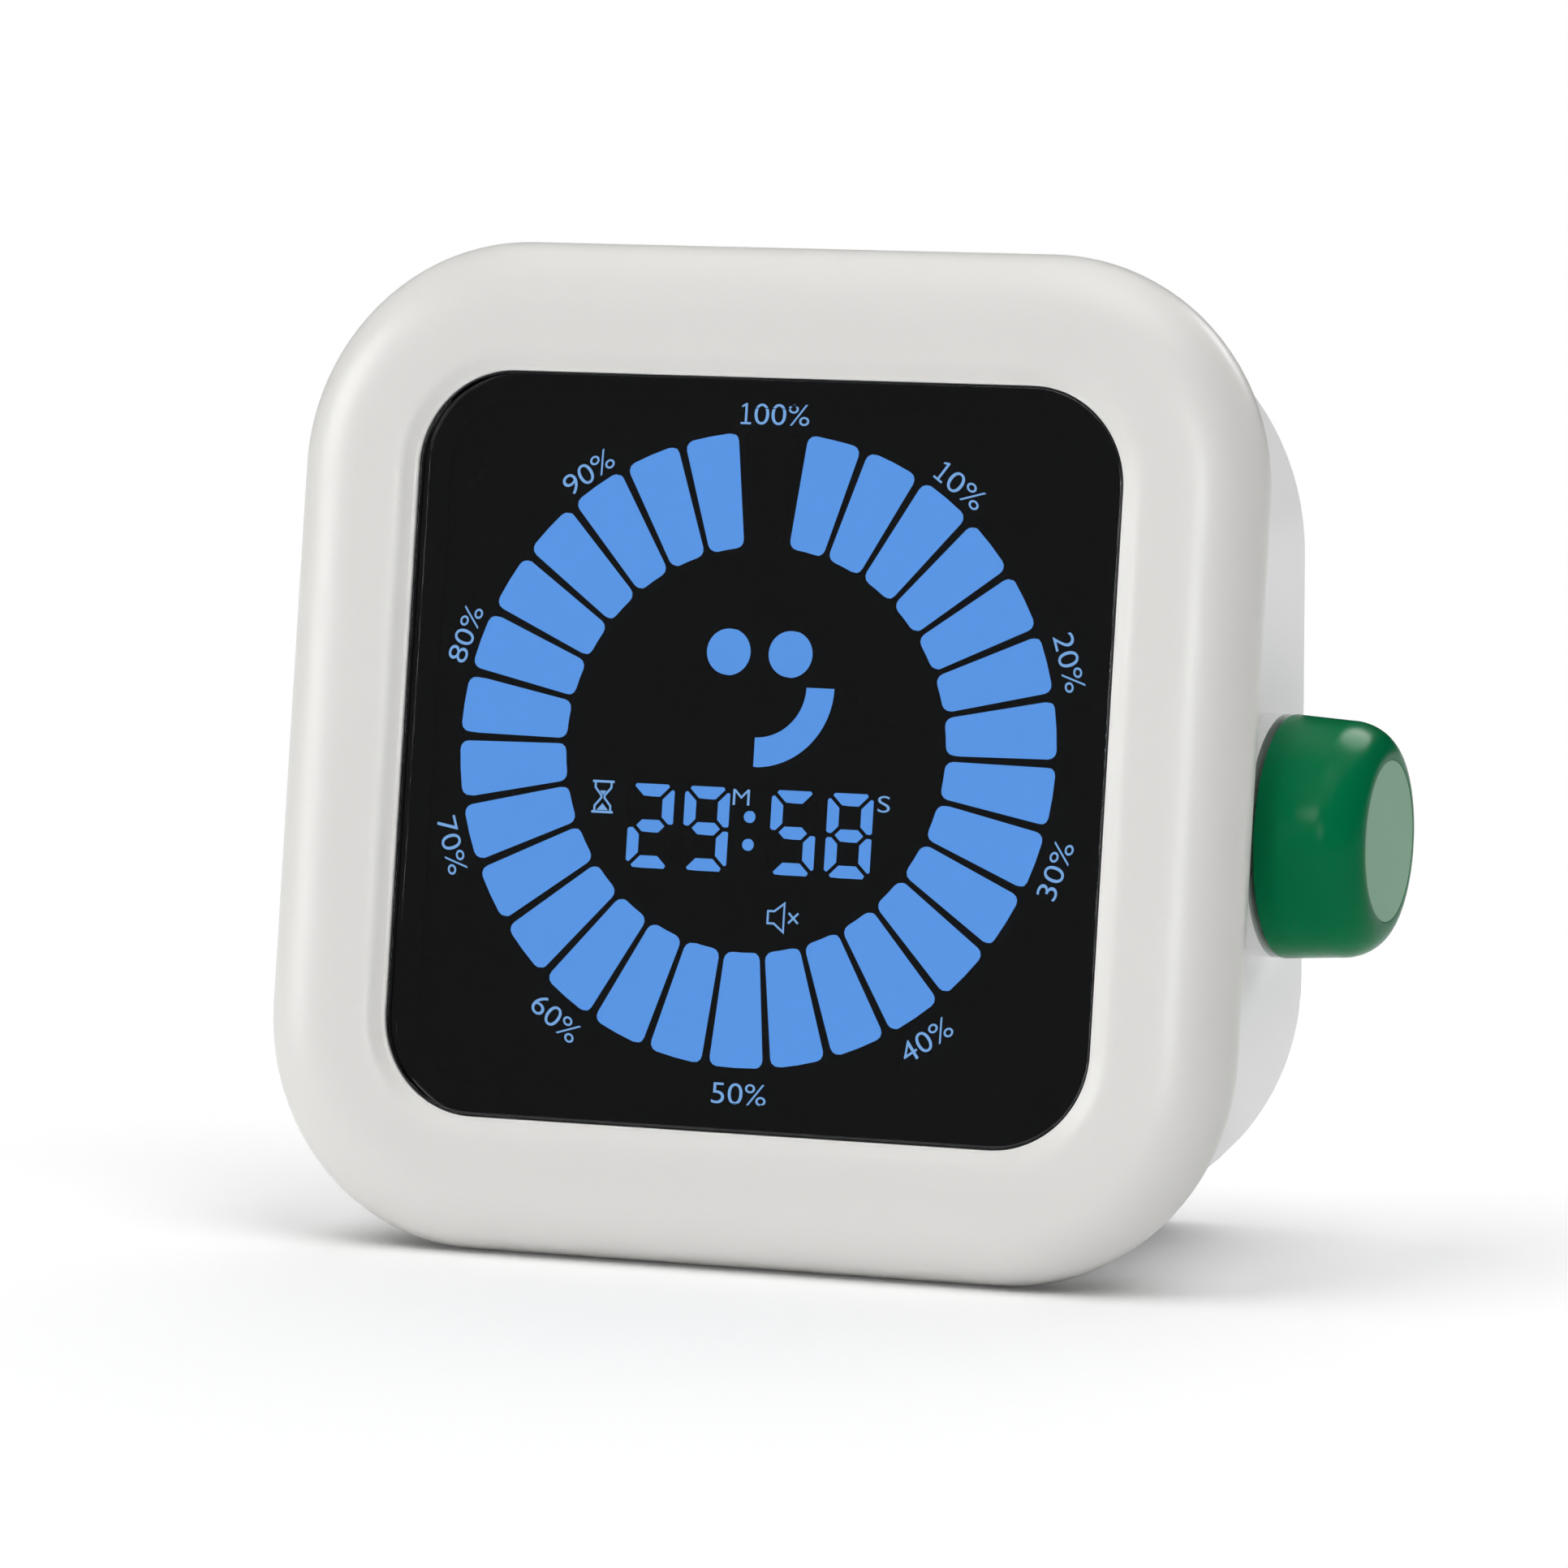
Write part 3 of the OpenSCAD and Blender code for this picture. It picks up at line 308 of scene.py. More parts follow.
def outside_housing(points):
    """How far each point is outside the housing's outline and its gap, looking along Y, in mm."""
    x, z = points[:, 0] / MM, points[:, 2] / MM - HOUSING_MIDDLE_Z
    past_x = np.abs(x) - (HOUSING_HALF_W - HOUSING_CORNER)
    past_z = np.abs(z) - (HOUSING_HALF_H - HOUSING_CORNER)
    corner_way = np.hypot(np.maximum(past_x, 0), np.maximum(past_z, 0))
    side_way = np.minimum(np.maximum(past_x, past_z), 0)
    return corner_way + side_way - HOUSING_CORNER - FIT_GAP


def frame_skin():
    """Rows of the frame's closed skin, and the number of the row where its edge begins.

    The rows run up from the ledge over the face and round the edge, down the edge's rear to
    where it meets the housing, one step in, and back inside to the ledge.
    """
    turn = np.linspace(0, math.pi / 2, EDGE_STEPS + 1)
    edge_rows = [(-EDGE_W - 1.0, FACE_TOP)]
    edge_rows += list(zip(EDGE_W * np.sin(turn) - EDGE_W, WIDEST_Z + EDGE_FRONT * np.cos(turn)))
    window_rows = LEDGE_ROWS + LIP_ROWS
    front = [rings(WINDOW_SQUARE, window_rows), rings(FRAME_SQUARE, edge_rows)]
    low = np.zeros(front[0].shape[1])
    high = np.full(front[0].shape[1], math.pi / 2)
    for _ in range(HALVINGS):
        middle = (low + high) / 2
        out = outside_housing(on_face(*edge_behind(middle))) > 0
        low, high = np.where(out, middle, low), np.where(out, high, middle)
    parts = np.linspace(0, 1, REAR_ROWS)[1:]
    rear = np.stack([on_face(*edge_behind(low * part)) for part in parts])
    step = rear[-1:] + np.array([0, -REAR_STEP * MM, 0])
    inside = [rings(FRAME_SQUARE, [(-FRAME_WALL, WIDEST_Z), (-EDGE_W, FACE_BACK)]),
              rings(WINDOW_SQUARE, [(SEAT_WALL, FACE_BACK), (SEAT_WALL, -WINDOW_T - LEDGE_T)])]
    return np.concatenate([*front, rear, step, *inside]), len(window_rows) + 1


RIDGE_ROWS, RIDGE_HIGHLIGHT = 5.0, 0.3
frame_white = moulded("frame_white", (0.80, 0.79, 0.765), gloss=0.34, drift=0.012, grains=3500,
                      grain_depth=0.000003, rubbed=0.0, specular=0.6)
# Painted highlight: the attribute read here makes a band lighter and glossier just past where the
# edge starts to roll, in place of the shine along that ridge.
painted_ridge_highlight = add_node(frame_white.node_tree, "Attribute", attribute_name="painted_ridge_highlight")
set_inputs(skin_of(frame_white), {"Painted highlight": painted_ridge_highlight.outputs["Fac"]})
skin, edge_start = frame_skin()
front_frame = piece("front_frame", skin, skin_faces(*skin.shape[:2], True), frame_white, "case",
                    ("front_bezel",), "case_front", 28)
# Strength of the painted ridge highlight on each row of the frame's skin, greatest a few rows
# past the edge's start.
past_start = np.arange(len(skin))[:, None] - edge_start
ridge_highlight_by_row = RIDGE_HIGHLIGHT * np.exp(-((past_start - RIDGE_ROWS) / RIDGE_ROWS) ** 2) * (past_start >= 0)
ridge_highlight_layer = front_frame.data.attributes.new("painted_ridge_highlight", "FLOAT", "POINT")
ridge_highlight_layer.data.foreach_set("value", np.broadcast_to(ridge_highlight_by_row, skin.shape[:2]).ravel().astype(np.float32))

# ---------------------------------------------------------------------------------------------
# Window: a 1.5 mm sheet of smoked acrylic with eased edges, dropped into the frame's seat and
# held by a film whose printed black border hides the seat.
# ---------------------------------------------------------------------------------------------
WINDOW_ROWS = [(-0.5, 0.0), (-0.17, 0.0), (-0.13, -0.01), (-0.1, -0.04), (-0.09, -0.08),
               (-0.09, -1.3), (-0.15, -1.38), (-0.5, -1.38)]
BORDER_ROWS = [(-2.4, -1.41), (-0.07, -1.41), (-0.07, -0.06), (-0.01, -0.06), (-0.01, -1.47),
               (-2.4, -1.47)]
PAINTED_STRAY_GLOW = 0.009


def smoked_acrylic():
    """Clear shader with a grey tint that drifts a little, and faint wipe marks in its gloss."""
    made, shader = new_material("smoked_acrylic", {
        "Transmission Weight": 1.0, "IOR": 1.45, "Specular IOR Level": 0.03})
    shade = add_node(made.node_tree, "MapRange", {
        "Value": own_noise(made.node_tree, 30), "To Min": 0.66, "To Max": 0.70})
    wipes = add_node(made.node_tree, "MapRange", {
        "Value": own_noise(made.node_tree, 150, 5), "From Min": 0.35, "From Max": 0.75,
        "To Min": 0.0, "To Max": 0.035})
    set_inputs(shader, {"Base Color": shade.outputs[0], "Roughness": wipes.outputs[0]})
    return made


def capped(points):
    """Faces of a skin of rows whose first and last row are closed by a flat face."""
    rows, cols = points.shape[:2]
    ends = [list(range(cols))[::-1], list(range((rows - 1) * cols, rows * cols))]
    return skin_faces(rows, cols, False).tolist() + ends


sheet = rings(WINDOW_SQUARE, WINDOW_ROWS)
piece("smoked_window", sheet, capped(sheet), smoked_acrylic(), "case", ("display_window",),
      "window")
print_black = moulded("print_black", (0.006, 0.006, 0.0065), gloss=0.8, drift=0.2, grains=6000,
                      rubbed=0, specular=0.05)
# This black is also used on the dark cells and the light box. It glows faintly: painted light in
# place of the light scattered into the window's depths.
set_inputs(print_black.node_tree.nodes["Principled BSDF"], {
    "Emission Color": (0.95, 0.98, 1.0, 1), "Emission Strength": PAINTED_STRAY_GLOW})
border = rings(WINDOW_SQUARE, BORDER_ROWS)
piece("window_film", border, skin_faces(*border.shape[:2], True), print_black, "case",
      ("diffuser_film",), "film")

# ---------------------------------------------------------------------------------------------
# Light box: a black ABS grid with one cell per bar, stroke and dot. Each cell is filled by a
# milky insert that glows blue when its light chip is on, and stays dark when it is off.
# ---------------------------------------------------------------------------------------------
WINDOW_PASSES = 0.68
LIT_BLUE = (0.1022, 0.3140, 0.8069)


def lit_insert(name, colour, strength):
    """Milky plastic that glows evenly but for a fine sand in the resin.

    strength is what is left of the glow in front of the window.
    """
    made, shader = new_material(name, {
        "Base Color": (0.03, 0.04, 0.06, 1), "Roughness": 0.6, "Specular IOR Level": 0.1,
        "Emission Strength": strength / WINDOW_PASSES})
    level = add_node(made.node_tree, "MapRange", {
        "Value": own_noise(made.node_tree, 900, 3), "To Min": 0.97, "To Max": 1.03})
    tone = add_node(made.node_tree, "VectorMath", {0: colour, "Scale": level.outputs[0]},
                    operation="SCALE")
    set_inputs(shader, {"Emission Color": tone.outputs[0]})
    return made


def finish_nodes(names, material):
    """Gives solids of the frame their material."""
    for name in names:
        nodes[name].data.materials.clear()
        nodes[name].data.materials.append(material)


finish_nodes(("ring_bars", "digit_strokes", "face_lights"), lit_insert("lit_blue", LIT_BLUE, 1.0))
finish_nodes(("unlit_cells", "light_box"), print_black)

# ---------------------------------------------------------------------------------------------
# Legends: the percent figures, the M and S, the hourglass and the crossed-out speaker, cut
# clear in the film's print so that they glow like the bars.
# ---------------------------------------------------------------------------------------------
LEGEND_TOP, LEGEND_BOTTOM = -1.41, -1.43

# A leading 1 with a flag and a foot, in shares of its height from its left and its middle
ONE_W = 0.72
ONE_OUTLINE = np.array([(0.04, -0.5), (0.56, -0.5), (0.56, -0.4), (0.3575, -0.4), (0.3575, 0.5),
                        (0.27125, 0.5), (0.06, 0.38), (0.06, 0.30), (0.2425, 0.36),
                        (0.2425, -0.4), (0.04, -0.4)])
ONE_FACES = [[0, 1, 2, 3, 9, 10], [3, 4, 5, 8, 9], [5, 6, 7, 8]]


def joined(forms):
    """Several forms, each as points and faces, made into one."""
    start, points, faces = 0, [], []
    for form_points, form_faces in forms:
        points.append(form_points)
        faces += [[corner + start for corner in face] for face in form_faces]
        start += len(form_points)
    return np.concatenate(points), faces


def flat_shape(outline, faces):
    """A thin closed plate from a flat mesh: a front, a back and walls along the open edges."""
    count = len(outline)
    front = np.column_stack([outline, np.full(count, LEGEND_TOP)])
    back = np.column_stack([outline, np.full(count, LEGEND_BOTTOM)])
    edges = {}
    for face in faces:
        for start, end in zip(face, list(face[1:]) + [face[0]]):
            edges[(start, end)] = True
    walls = [[end, start, start + count, end + count] for start, end in edges
             if (end, start) not in edges]
    turned_round = [[corner + count for corner in face[::-1]] for face in faces]
    return np.concatenate([front, back]), [list(face) for face in faces] + turned_round + walls


def lettering(text):
    """Flat mesh of lettering in a plain sans: its points in the plane and its faces."""
    curve = bpy.data.curves.new("lettering", "FONT")
    curve.body = text
    curve.resolution_u = 6
    curve.offset = -0.006
    holder = bpy.data.objects.new("lettering", curve)
    bpy.context.scene.collection.objects.link(holder)
    flat = bpy.data.meshes.new_from_object(holder)
    form = bmesh.new()
    form.from_mesh(flat)
    bmesh.ops.remove_doubles(form, verts=form.verts, dist=1e-5)
    form.to_mesh(flat)
    form.free()
    places = np.zeros(len(flat.vertices) * 3)
    flat.vertices.foreach_get("co", places)
    faces = [list(polygon.vertices) for polygon in flat.polygons]
    bpy.data.objects.remove(holder)
    bpy.data.curves.remove(curve)
    bpy.data.meshes.remove(flat)
    return places.reshape(-1, 3)[:, :2], faces


def figures(text, middle, height, width, turn=0.0):
    """Lettering stretched to that height and width, centred on middle and turned clockwise.

    turn is in degrees. A leading 1 is drawn with its flag and foot.
    """
    outline, faces = lettering(text.lstrip("1"))
    one_width = ONE_W * height if text.startswith("1") else 0.0
    low, high = outline.min(0), outline.max(0)
    outline = (outline - low) * np.array([width - one_width, height]) / (high - low)
    outline = outline + np.array([one_width - width / 2, -height / 2])
    if one_width:
        one = ONE_OUTLINE * height + np.array([-width / 2, 0])
        faces = faces + [[corner + len(outline) for corner in face] for face in ONE_FACES]
        outline = np.concatenate([outline, one])
    cos, sin = math.cos(math.radians(-turn)), math.sin(math.radians(-turn))
    return flat_shape(outline @ np.array([[cos, sin], [-sin, cos]]) + np.array(middle), faces)


def line(path, width, closed=False):
    """A drawn line of that width along a path, with mitred corners.

    Each point steps to both sides along the mean of its two edge normals.
    """
    path = np.array(path, float)
    ahead = np.roll(path, -1, 0) - path
    if not closed:
        ahead[-1] = ahead[-2]
    ahead /= np.linalg.norm(ahead, axis=1)[:, None]
    behind = np.roll(ahead, 1, 0)
    if not closed:
        behind[0] = ahead[0]
    normal = np.column_stack([-ahead[:, 1] - behind[:, 1], ahead[:, 0] + behind[:, 0]])
    normal /= np.linalg.norm(normal, axis=1)[:, None]
    across = np.abs(normal[:, 1] * ahead[:, 0] - normal[:, 0] * ahead[:, 1])
    side = normal * np.clip(1 / across, 1, 2)[:, None] * width / 2
    count = len(path)
    quads = [[i, i + count, (i + 1) % count + count, (i + 1) % count]
             for i in range(count if closed else count - 1)]
    return flat_shape(np.concatenate([path + side, path - side]), quads)


# The percent figures stand on a circle, each moved a little along and across its own line
LABEL_MIDDLE, LABEL_R, FIGURE_H = np.array([0.24, 0.19]), 27.72, 1.73
FIGURES_W, HUNDRED_W = 4.75, 6.05
SLIDES = (-0.1, 0, 0.1, 0.3, -0.1, 0.3, 0.15, 0.2, 0.2, 0.1)
LIFTS = (0, 0, 0.1, 0.1, 0, -0.05, 0, -0.05, 0, 0)
marks = []
for step, (slide, rise) in enumerate(zip(SLIDES, LIFTS)):
    angle = 36 * step
    text = f"{10 * step or 100}%"
    turn = angle if step < 3 else angle - 180 if step < 8 else angle - 360
    ahead = np.array([math.cos(math.radians(turn)), -math.sin(math.radians(turn))])
    spot = LABEL_MIDDLE + LABEL_R * np.array([math.sin(math.radians(angle)),
                                              math.cos(math.radians(angle))])
    spot += slide * ahead + rise * np.array([-ahead[1], ahead[0]])
    marks.append(figures(text, spot, FIGURE_H, FIGURES_W if step else HUNDRED_W, turn))
marks.append(figures("M", (-0.78, -3.43), 1.3, 1.45))
marks.append(figures("S", (11.62, -3.43), 1.35, 1.05))

# The hourglass: two end bars, two bulb outlines, the fallen sand and the sand still above
GLASS, BAR_LINE, FINE_LINE = np.array([-12.94, -3.94]), 0.2, 0.17
BULB = np.array([(0.7, 1.2), (0.7, 0.75), (0.14, 0.1), (0.14, -0.1), (0.7, -0.75), (0.7, -1.2)])
for end in (1.25, -1.25):
    marks.append(line(GLASS + np.array([(-0.95, end), (0.95, end)]), BAR_LINE))
for side in (-1, 1):
    marks.append(line(GLASS + BULB * (side, 1), FINE_LINE))
for sand in ([(-0.5, -1.1), (0.5, -1.1), (0, -0.55)], [(-0.3, 0.5), (0, 0.15), (0.3, 0.5)]):
    marks.append(flat_shape(GLASS + np.array(sand), [[0, 1, 2]]))

# The crossed-out speaker: its horn and the two strokes of the cross
SPEAKER = np.array([3.45, -13.06])
HORN = np.array([(-1.3, 0.5), (-0.75, 0.5), (0.1, 1.17), (0.1, -1.17), (-0.75, -0.5),
                 (-1.3, -0.5)])
marks.append(line(SPEAKER + HORN, FINE_LINE, closed=True))
for side in (1, -1):
    marks.append(line(SPEAKER + np.array([(0.5, side * 0.42), (1.34, -side * 0.42)]), FINE_LINE))

legend_points, legend_faces = joined(marks)
legend_blue = lit_insert("legend_blue", (0.20, 0.42, 0.80), 0.95)
piece("legends", on_face(*legend_points.T), legend_faces, legend_blue, "case", (), "lit_cell")

# ---------------------------------------------------------------------------------------------
# Rear housing: a deep rounded tube of white ABS standing upright on a rubber foot, with a
# collar for the knob on its right side. The rear cover drops into it from behind.
# ---------------------------------------------------------------------------------------------
JOIN_WITHIN, NO_LENGTH, FLAT_WITHIN = 2e-6, 1e-7, math.radians(0.2)


def smoothed(node, name, material, crease=30):
    """The solid's own mesh with its loose corners joined, shaded smooth between its creases."""
    form = bmesh.new()
    form.from_mesh(nodes[node].data)
    bmesh.ops.remove_doubles(form, verts=form.verts, dist=JOIN_WITHIN)
    bmesh.ops.dissolve_degenerate(form, edges=form.edges, dist=NO_LENGTH)
    bmesh.ops.dissolve_limit(form, angle_limit=FLAT_WITHIN, verts=form.verts, edges=form.edges)
    mesh = bpy.data.meshes.new(name)
    form.to_mesh(mesh)
    form.free()
    mesh.materials.append(material)
    mesh.shade_smooth()
    mesh.set_sharp_from_angle(angle=math.radians(crease))
    mesh.polygons.foreach_set("material_index", np.zeros(len(mesh.polygons), np.int32))
    made = bpy.data.objects.new(name, mesh)
    bpy.context.scene.collection.objects.link(made)
    made.modifiers.new("flat_faces", "WEIGHTED_NORMAL").keep_sharp = True
    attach(made, nodes[node]["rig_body"])
    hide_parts(node)
    return made


housing_white = moulded("housing_white", (0.84, 0.84, 0.84), gloss=0.33, drift=0.012,
                        grain_depth=0.000003, rubbed=0.0)
rear_shell = smoothed("rear_housing", "rear_shell", housing_white)
foot_grey = moulded("foot_grey", (0.06, 0.06, 0.062), gloss=0.75, drift=0.08, grains=1500,
                    grain_depth=0.00003, rubbed=0.5)
finish_nodes(("rubber_foot",), foot_grey)

# ---------------------------------------------------------------------------------------------
# Knob: a dark green satin cap pressed on the encoder's flatted shaft. It turns without end and
# presses in. A pale green matt disc is let into its end.
# ---------------------------------------------------------------------------------------------
knob_low, knob_high = (np.array(corner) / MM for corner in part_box("knob"))
KNOB_Y, KNOB_Z = (knob_low[1] + knob_high[1]) / 2, (knob_low[2] + knob_high[2]) / 2
KNOB_LEN = knob_high[0] - knob_low[0]
KNOB_R, KNOB_NECK_R, KNOB_RIM_R, SHOULDER, SHOULDER_STEPS = 10.0, 9.7, 6.7, 3.6, 32
BORE_R, BORE_DEEP, HOLLOW_R, BASE_EDGE = 5.0, 2.9, 7.9, 0.25
POCKET_R, POCKET_DEEP, DISC_R = 6.62, 0.8, 6.6


def tipped(rows, cols):
    """Faces of a skin of rows that runs to a tip at both ends, its last two points."""
    col = np.arange(cols)
    ahead, last = (col + 1) % cols, (rows - 1) * cols
    start = np.column_stack([ahead, col, np.full(cols, rows * cols)])
    end = np.column_stack([last + col, last + ahead, np.full(cols, rows * cols + 1)])
    return skin_faces(rows, cols, False).tolist() + start.tolist() + end.tolist()


def turned(profile, start_x, turns=128):
    """Closed form turned round the knob's axis, as points and faces.

    The profile's rows (distance along the axis, radius) begin and end on the axis.
    """
    along, radius = np.array(profile)[1:-1].T[..., None]
    angle = np.linspace(0, 2 * math.pi, turns, endpoint=False)
    ring = np.stack([np.broadcast_to(start_x + along, (len(along), turns)),
                     KNOB_Y + radius * np.cos(angle), KNOB_Z + radius * np.sin(angle)], -1)
    tips = [[start_x + profile[end][0], KNOB_Y, KNOB_Z] for end in (0, -1)]
    return np.concatenate([ring.reshape(-1, 3), tips]) * MM, tipped(len(along), turns)


turn = np.linspace(0, math.pi / 2, SHOULDER_STEPS + 1)
side_len = KNOB_LEN - SHOULDER - BASE_EDGE
knob_profile = [(BORE_DEEP, 0), (BORE_DEEP, BORE_R), (0, HOLLOW_R), (0, KNOB_R - BASE_EDGE),
                (0.02, KNOB_R - 0.12), (0.1, KNOB_R - 0.03), (BASE_EDGE, KNOB_R)]
knob_profile += [(BASE_EDGE + side_len * part, KNOB_R + (KNOB_NECK_R - KNOB_R) * part)
                 for part in (0.25, 0.5, 0.75)]
knob_profile += list(zip(KNOB_LEN - SHOULDER * (1 - np.sin(turn)),
                         KNOB_RIM_R + (KNOB_NECK_R - KNOB_RIM_R) * np.cos(turn)))
knob_profile += [(KNOB_LEN - 0.01, POCKET_R + 0.03), (KNOB_LEN - 0.04, POCKET_R),
                 (KNOB_LEN - POCKET_DEEP, POCKET_R), (KNOB_LEN - POCKET_DEEP, 0)]
knob_green = moulded("knob_green", (0.0004, 0.178, 0.062), gloss=0.24, drift=0.03,
                     gloss_drift=0.04, grain_depth=0.000003, rubbed=0.0, specular=0.05)
knob_cap = piece("knob_cap", *turned(knob_profile, knob_low[0]), knob_green, "dial", ("knob",),
                 "knob_green", 32)

disc_profile = [(-POCKET_DEEP, 0), (-POCKET_DEEP, DISC_R), (-0.02, DISC_R), (0, DISC_R - 0.02),
                (0, DISC_R - 0.2), (0, 0)]
disc_green = moulded("disc_green", (0.163, 0.318, 0.212), gloss=0.5, drift=0.03, grains=5000,
                     rubbed=0.0, specular=0.2)
piece("knob_end", *turned(disc_profile, knob_high[0]), disc_green, "dial", ("knob_disc",),
      "disc_green", 32)

# ---------------------------------------------------------------------------------------------
# Encoder: a plated can clamped to the housing's side by a threaded bush and a hex nut, with a
# steel shaft and a small board of its own. Other plated cans share its finish.
# ---------------------------------------------------------------------------------------------
plated = moulded("plated", (0.62, 0.61, 0.58), gloss=0.3, drift=0.05, grains=1800,
                 grain_depth=0.000002, metallic=1.0, rubbed=0.3)
finish_nodes(("encoder_body", "encoder_bush", "encoder_nut", "knob_shaft", "quartz_crystal",
              "capacitors", "switch_body", "speaker_basket", "speaker_magnet"), plated)
finish_nodes(("push_rod",), moulded("milky_acetal", (0.75, 0.75, 0.72), gloss=0.35))

# ---------------------------------------------------------------------------------------------
# Boards: glass-epoxy laminate under green or white solder mask, with chips and gold-flashed
# pins. The speaker's cone is as black as the chips.
# ---------------------------------------------------------------------------------------------
mask_green = moulded("mask_green", (0.01, 0.10, 0.035), gloss=0.25, drift=0.1, grains=900,
                     grain_depth=0.00001)
mask_white = moulded("mask_white", (0.75, 0.76, 0.74), gloss=0.3, drift=0.03, grains=900)
chip_black = moulded("chip_black", (0.015, 0.015, 0.016), gloss=0.55, drift=0.1, grains=2500)
chip_yellow = moulded("chip_yellow", (0.75, 0.62, 0.25), gloss=0.25, drift=0.1)
gold_flash = moulded("gold_flash", (0.75, 0.52, 0.18), gloss=0.25, metallic=1.0)
finish_nodes(("main_board", "encoder_board"), mask_green)
finish_nodes(("led_board",), mask_white)
finish_nodes(("board_chips", "speaker_cone"), chip_black)
finish_nodes(("led_chips",), chip_yellow)
finish_nodes(("display_pins",), gold_flash)

# ---------------------------------------------------------------------------------------------
# Rear cover: a flat white plate let into the housing's rim by four screws, with sound holes,
# a slot for the sound switch and the battery bay behind a hinged door.
# ---------------------------------------------------------------------------------------------
smoothed("rear_cover", "cover_plate", housing_white)
smoothed("battery_door", "door_plate", housing_white)
screw_steel = moulded("screw_steel", (0.42, 0.42, 0.41), gloss=0.35, drift=0.08, metallic=1.0,
                      rubbed=0.6)
finish_nodes(("board_screws",), screw_steel)

HEAD_R, HEAD_T, SHANK_R, CROWN = 1.9, 1.2, 0.95, 0.3
TIP_R, TIP_LEN = 0.1, 0.8
ARM_LONG, ARM_WIDE, ARM_DEEP, ARM_SLOPE = 1.15, 0.26, 0.6, 0.09
screws_low, screws_high = (np.array(corner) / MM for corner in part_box("cover_screws"))
SCREW_TOP, SCREW_LEN = screws_high[1], screws_high[1] - screws_low[1]


def crossed_screw(middle_x, middle_z, crown_steps=36, turns=96):
    """A screw along Y with a crossed head, as points and faces.

    Its crown falls with the radius squared, less a cross of two arms that taper in depth.
    """
    radius = np.linspace(0, HEAD_R, crown_steps + 1)[1:, None]
    angle = np.linspace(0, 2 * math.pi, turns, endpoint=False)[None]
    across, up = np.abs(radius * np.cos(angle)), np.abs(radius * np.sin(angle))
    inside = np.maximum(np.minimum(ARM_WIDE - up, ARM_LONG - across),
                        np.minimum(ARM_WIDE - across, ARM_LONG - up))
    deep = np.clip(inside / ARM_SLOPE, 0, 1) * ARM_DEEP * (1 - 0.5 * radius / ARM_LONG)
    rows = [(radius, CROWN * (radius / HEAD_R) ** 2 + deep), (HEAD_R, HEAD_T),
            (SHANK_R, HEAD_T), (SHANK_R, SCREW_LEN - TIP_LEN), (TIP_R, SCREW_LEN)]
    skin = []
    for radius, depth in rows:
        radius = np.atleast_2d(radius)
        skin.append(np.stack([middle_x + radius * np.cos(angle),
                              np.broadcast_to(SCREW_TOP - depth, (len(radius), turns)),
                              middle_z + radius * np.sin(angle)], -1))
    skin = np.concatenate(skin)
    tips = [[middle_x, SCREW_TOP - depth, middle_z] for depth in (ARM_DEEP, SCREW_LEN)]
    return np.concatenate([skin.reshape(-1, 3), tips]) * MM, tipped(len(skin), turns)


screws = [crossed_screw(middle_x, middle_z)
          for middle_x in (screws_low[0] + HEAD_R, screws_high[0] - HEAD_R)
          for middle_z in (screws_low[2] + HEAD_R, screws_high[2] - HEAD_R)]
piece("case_screws", *joined(screws), screw_steel, "case", ("cover_screws",), "screw_steel")
slider_grey = moulded("slider_grey", (0.035, 0.035, 0.037), gloss=0.5, drift=0.05)
finish_nodes(("sound_slider",), slider_grey)

# ---------------------------------------------------------------------------------------------
# Cells: three AAA cells in glossy shrink sleeves, laid to and fro between plated plates and
# springs.
# ---------------------------------------------------------------------------------------------
CELL_TIP, CELL_BAND, CAP_START = 1.0 * MM, 4.5 * MM, 0.05 * MM
PALE_BAND, BARE_STEEL = (0.62, 0.64, 0.65, 1), (0.6, 0.6, 0.58, 1)


def cell_sleeve(name, shoulder_x, way):
    """Dark sleeve with a pale band at the plus end, whose cap is bare steel.

    Two masks tell by X how far a spot lies past the start of the band and past the shoulder.
    """
    made = moulded(name, (0.06, 0.075, 0.10), gloss=0.2, drift=0.06, grains=600,
                   grain_depth=0.000004)
    tree = made.node_tree
    place = add_node(tree, "TexCoord").outputs["Object"]
    along = add_node(tree, "SeparateXYZ", {0: place}).outputs["X"]
    colour = skin_of(made).outputs["Colour"]
    for start, other in ((-CELL_BAND, PALE_BAND), (CAP_START, BARE_STEEL)):
        mask = add_node(tree, "Math", {0: along, 1: shoulder_x + way * start},
                        operation="GREATER_THAN" if way > 0 else "LESS_THAN").outputs[0]
        colour = add_node(tree, "Mix", {"Factor": mask, "A": colour, "B": other},
                          data_type="RGBA").outputs["Result"]
    set_inputs(tree.nodes["Principled BSDF"], {"Base Color": colour, "Metallic": mask})
    return made


for name, way in [("cell_upper", 1), ("cell_middle", -1), ("cell_lower", 1)]:
    plus_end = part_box(name)[1 if way > 0 else 0][0]
    finish_nodes((name,), cell_sleeve(name + "_sleeve", plus_end - way * CELL_TIP, way))
spring_steel = moulded("spring_steel", (0.7, 0.69, 0.66), gloss=0.2, drift=0.04, metallic=1.0)
finish_nodes(("contact_plates", "contact_springs"), spring_steel)

